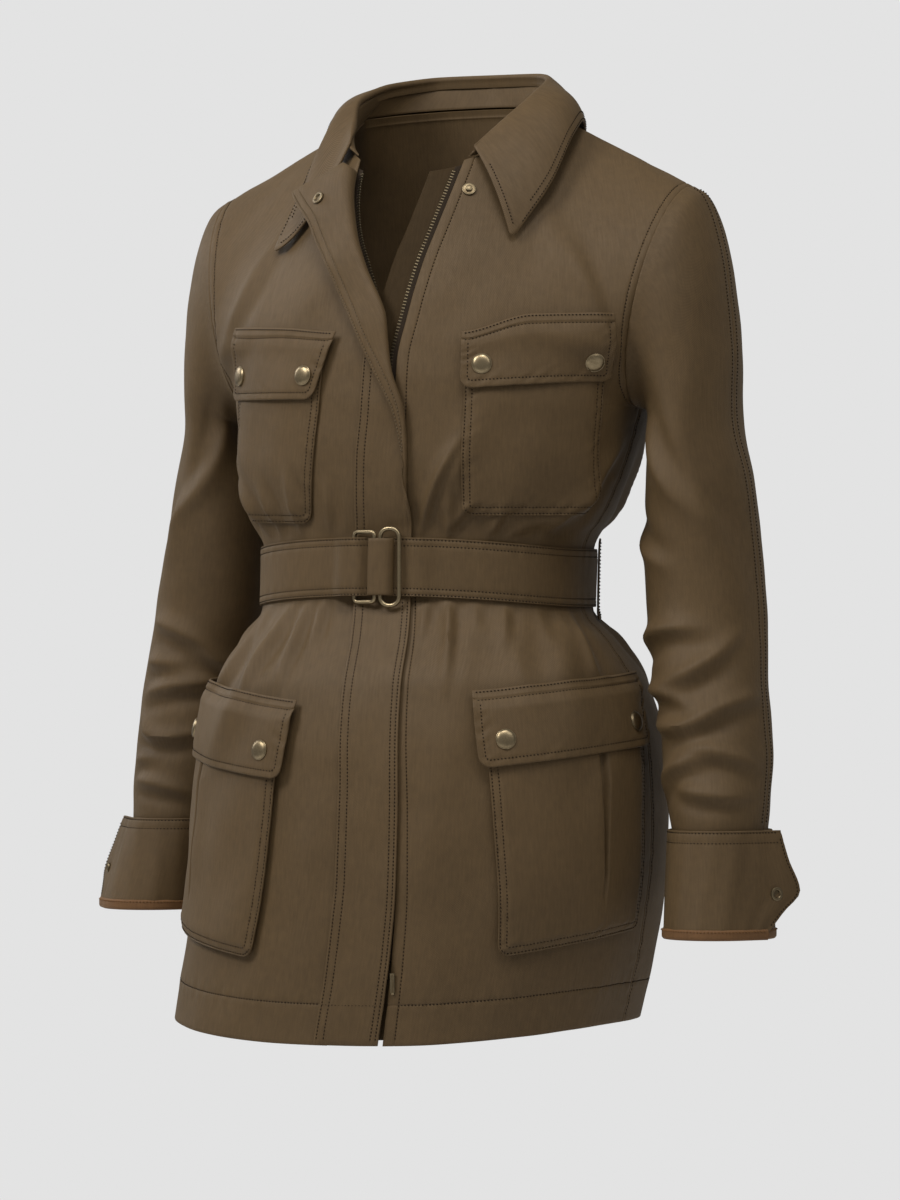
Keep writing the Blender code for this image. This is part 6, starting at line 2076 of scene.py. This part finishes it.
class JACKET_OT_closure(bpy.types.Operator):
    """Lays the fly, the zip with its slider and pull, and the placket beneath"""
    bl_idname = "jacket.closure"
    bl_label = "Fly and zip"

    def execute(self, context):
        [make_fly()] + make_zip(context.scene.jacket_sizes)
        sew("stitches_fly", sew_fly)
        # The turned-back fly's rows take the paler thread, a painted highlight.
        sew("stitches_fly_turned", sew_turned_fly, thread="pale_thread")
        return {"FINISHED"}


class JACKET_OT_pockets(bpy.types.Operator):
    """Lays the four pockets, their gussets and their flaps"""
    bl_idname = "jacket.pockets"
    bl_label = "Pockets and flaps"

    def execute(self, context):
        pieces = []
        for patch in POCKETS:
            extra = pleat_line(patch) + np.array(PLEAT_NEAR) if is_hip(patch) else ()
            pieces.append(make_patch(patch, pocket_stand, extra))
            if is_hip(patch):
                pieces.append(make_gusset(patch))
        pieces += [make_patch(patch, flap_stand) for patch in FLAPS]
        sew("stitches_pockets", self.rows)
        return {"FINISHED"}

    @staticmethod
    def rows(sewing):
        for patch in POCKETS:
            sew_patch(sewing, patch, pocket_stand, (EDGE_STITCH, SECOND_STITCH), POCKET_TOP)
        for patch in FLAPS:
            sew_patch(sewing, patch, flap_stand, (SECOND_STITCH - 0.001,), WELT_STITCH + 0.002)
            aside = np.linspace(0.0015, patch_size(patch)[0] - 0.0015, 60)
            for below in (0.0016, WELT_STITCH):
                lie = flap_stand(patch, aside, np.full(60, below))
                sewing.row(lambda out: on_outline(patch, aside, np.full(60, below), lie + out))


class JACKET_OT_collar(bpy.types.Operator):
    """Lays the collar's leaf and stand"""
    bl_idname = "jacket.collar"
    bl_label = "Collar"

    def execute(self, context):
        make_collar()
        sew("stitches_collar", sew_collar)
        return {"FINISHED"}


class JACKET_OT_sleeves(bpy.types.Operator):
    """Lays both sleeves with their creases and topstitched seams"""
    bl_idname = "jacket.sleeves"
    bl_label = "Sleeves"

    def execute(self, context):
        make_sleeves()
        sew("stitches_sleeves", sew_sleeves)
        return {"FINISHED"}


class JACKET_OT_cuffs(bpy.types.Operator):
    """Lays the cuffs with their tabs and brown bindings"""
    bl_idname = "jacket.cuffs"
    bl_label = "Cuffs"

    def execute(self, context):
        make_cuffs()
        sew("stitches_cuffs", sew_cuffs)
        sew("stitches_bindings", sew_bindings, thread="binding_thread")
        return {"FINISHED"}


class JACKET_OT_belt(bpy.types.Operator):
    """Lays the belt, its keeper, wire rings and loops"""
    bl_idname = "jacket.belt"
    bl_label = "Belt"

    def execute(self, context):
        pieces = [make_belt(), make_keeper()]
        pieces += [make_loop(name, place) for name, place in LOOP_PLACES.items()]
        for ring in RINGS:
            make_ring(ring, context.scene.jacket_sizes.ring_wire)
        sew("stitches_belt", sew_belt, sew_loops)
        return {"FINISHED"}


class JACKET_OT_snaps(bpy.types.Operator):
    """Sets the snaps on flaps, fly, front and cuffs"""
    bl_idname = "jacket.snaps"
    bl_label = "Snaps"

    def execute(self, context):
        make_snaps(context.scene.jacket_sizes)
        return {"FINISHED"}


class JACKET_OT_studio(bpy.types.Operator):
    """Sets the plain floor, soft lights, background and camera"""
    bl_idname = "jacket.studio"
    bl_label = "Studio"

    def execute(self, context):
        scene = context.scene
        deselect()
        bpy.ops.mesh.primitive_plane_add(size=FLOOR_SIZE, location=(0.0, 0.0, FLOOR_HEIGHT))
        floor = context.object
        floor.name = "studio_floor"
        studio = (*scene.jacket_colours.studio, 1.0)
        made, _, shader = started("studio_floor_paint")
        set_inputs(shader, {"Base Color": studio, "Roughness": 0.9})
        floor.data.materials.append(made)
        world = bpy.data.worlds.new("studio_background")
        world.use_nodes = True
        tree = world.node_tree
        seen = tree.nodes["Background"]
        set_inputs(seen, {"Color": studio})
        glow = tree.nodes.new("ShaderNodeBackground")
        set_inputs(glow, {"Strength": WORLD_STRENGTH, "Color": (1.0, 1.0, 1.0, 1.0)})
        path, mix = tree.nodes.new("ShaderNodeLightPath"), tree.nodes.new("ShaderNodeMixShader")
        tree.links.new(path.outputs["Is Camera Ray"], mix.inputs["Fac"])
        tree.links.new(glow.outputs["Background"], mix.inputs[1])
        tree.links.new(seen.outputs["Background"], mix.inputs[2])
        tree.links.new(mix.outputs["Shader"], tree.nodes["World Output"].inputs["Surface"])
        scene.world = world
        for name, place, size, power in LIGHTS:
            bpy.ops.object.light_add(type="AREA", location=place)
            lamp = context.object
            lamp.name = name
            lamp.data.shape = "DISK"
            lamp.data.size = size
            lamp.data.energy = power
            lamp.rotation_euler = (Vector(CAMERA_TARGET) - lamp.location).to_track_quat("-Z", "Y").to_euler()
        turn = math.radians(CAMERA_AZIMUTH)
        place = Vector(CAMERA_TARGET) + CAMERA_DISTANCE * Vector((math.sin(turn), -math.cos(turn), 0.0))
        bpy.ops.object.camera_add(location=place, rotation=(math.pi / 2, 0.0, turn))
        camera = context.object
        camera.name = "studio_camera"
        camera.data.sensor_fit = "VERTICAL"
        camera.data.sensor_height = SENSOR
        camera.data.lens = SENSOR * CAMERA_DISTANCE / (PICTURE_PIXELS * METRES_PER_PIXEL)
        scene.camera = camera
        scene.view_settings.view_transform = "Standard"
        return {"FINISHED"}


class JACKET_PT_build(bpy.types.Panel):
    """The jacket's steps and sizes in the sidebar"""
    bl_label = "Belted cotton jacket"
    bl_space_type = "VIEW_3D"
    bl_region_type = "UI"
    bl_category = "Jacket"

    def draw(self, context):
        for step in STEPS:
            self.layout.operator(step.bl_idname)
        for group in (context.scene.jacket_sizes, context.scene.jacket_colours):
            for label in group.bl_rna.properties.keys():
                if label not in {"rna_type", "name"}:
                    self.layout.prop(group, label)


STEPS = (JACKET_OT_panels, JACKET_OT_closure, JACKET_OT_pockets, JACKET_OT_collar, JACKET_OT_sleeves,
         JACKET_OT_cuffs, JACKET_OT_belt, JACKET_OT_snaps, JACKET_OT_studio)
CLASSES = (JacketSizes, JacketColours) + STEPS + (JACKET_PT_build,)


def register():
    for kind in CLASSES:
        bpy.utils.register_class(kind)
    bpy.types.Scene.jacket_sizes = PointerProperty(type=JacketSizes)
    bpy.types.Scene.jacket_colours = PointerProperty(type=JacketColours)


def unregister():
    del bpy.types.Scene.jacket_colours
    del bpy.types.Scene.jacket_sizes
    for kind in reversed(CLASSES):
        bpy.utils.unregister_class(kind)


def main():
    """Registers the add-on and runs each of its steps."""
    register()
    for step in ("panels", "closure", "pockets", "collar", "sleeves", "cuffs", "belt", "snaps", "studio"):
        if getattr(bpy.ops.jacket, step)() != {"FINISHED"}:
            raise RuntimeError(step + " did not finish")


if __name__ == "__main__":
    main()
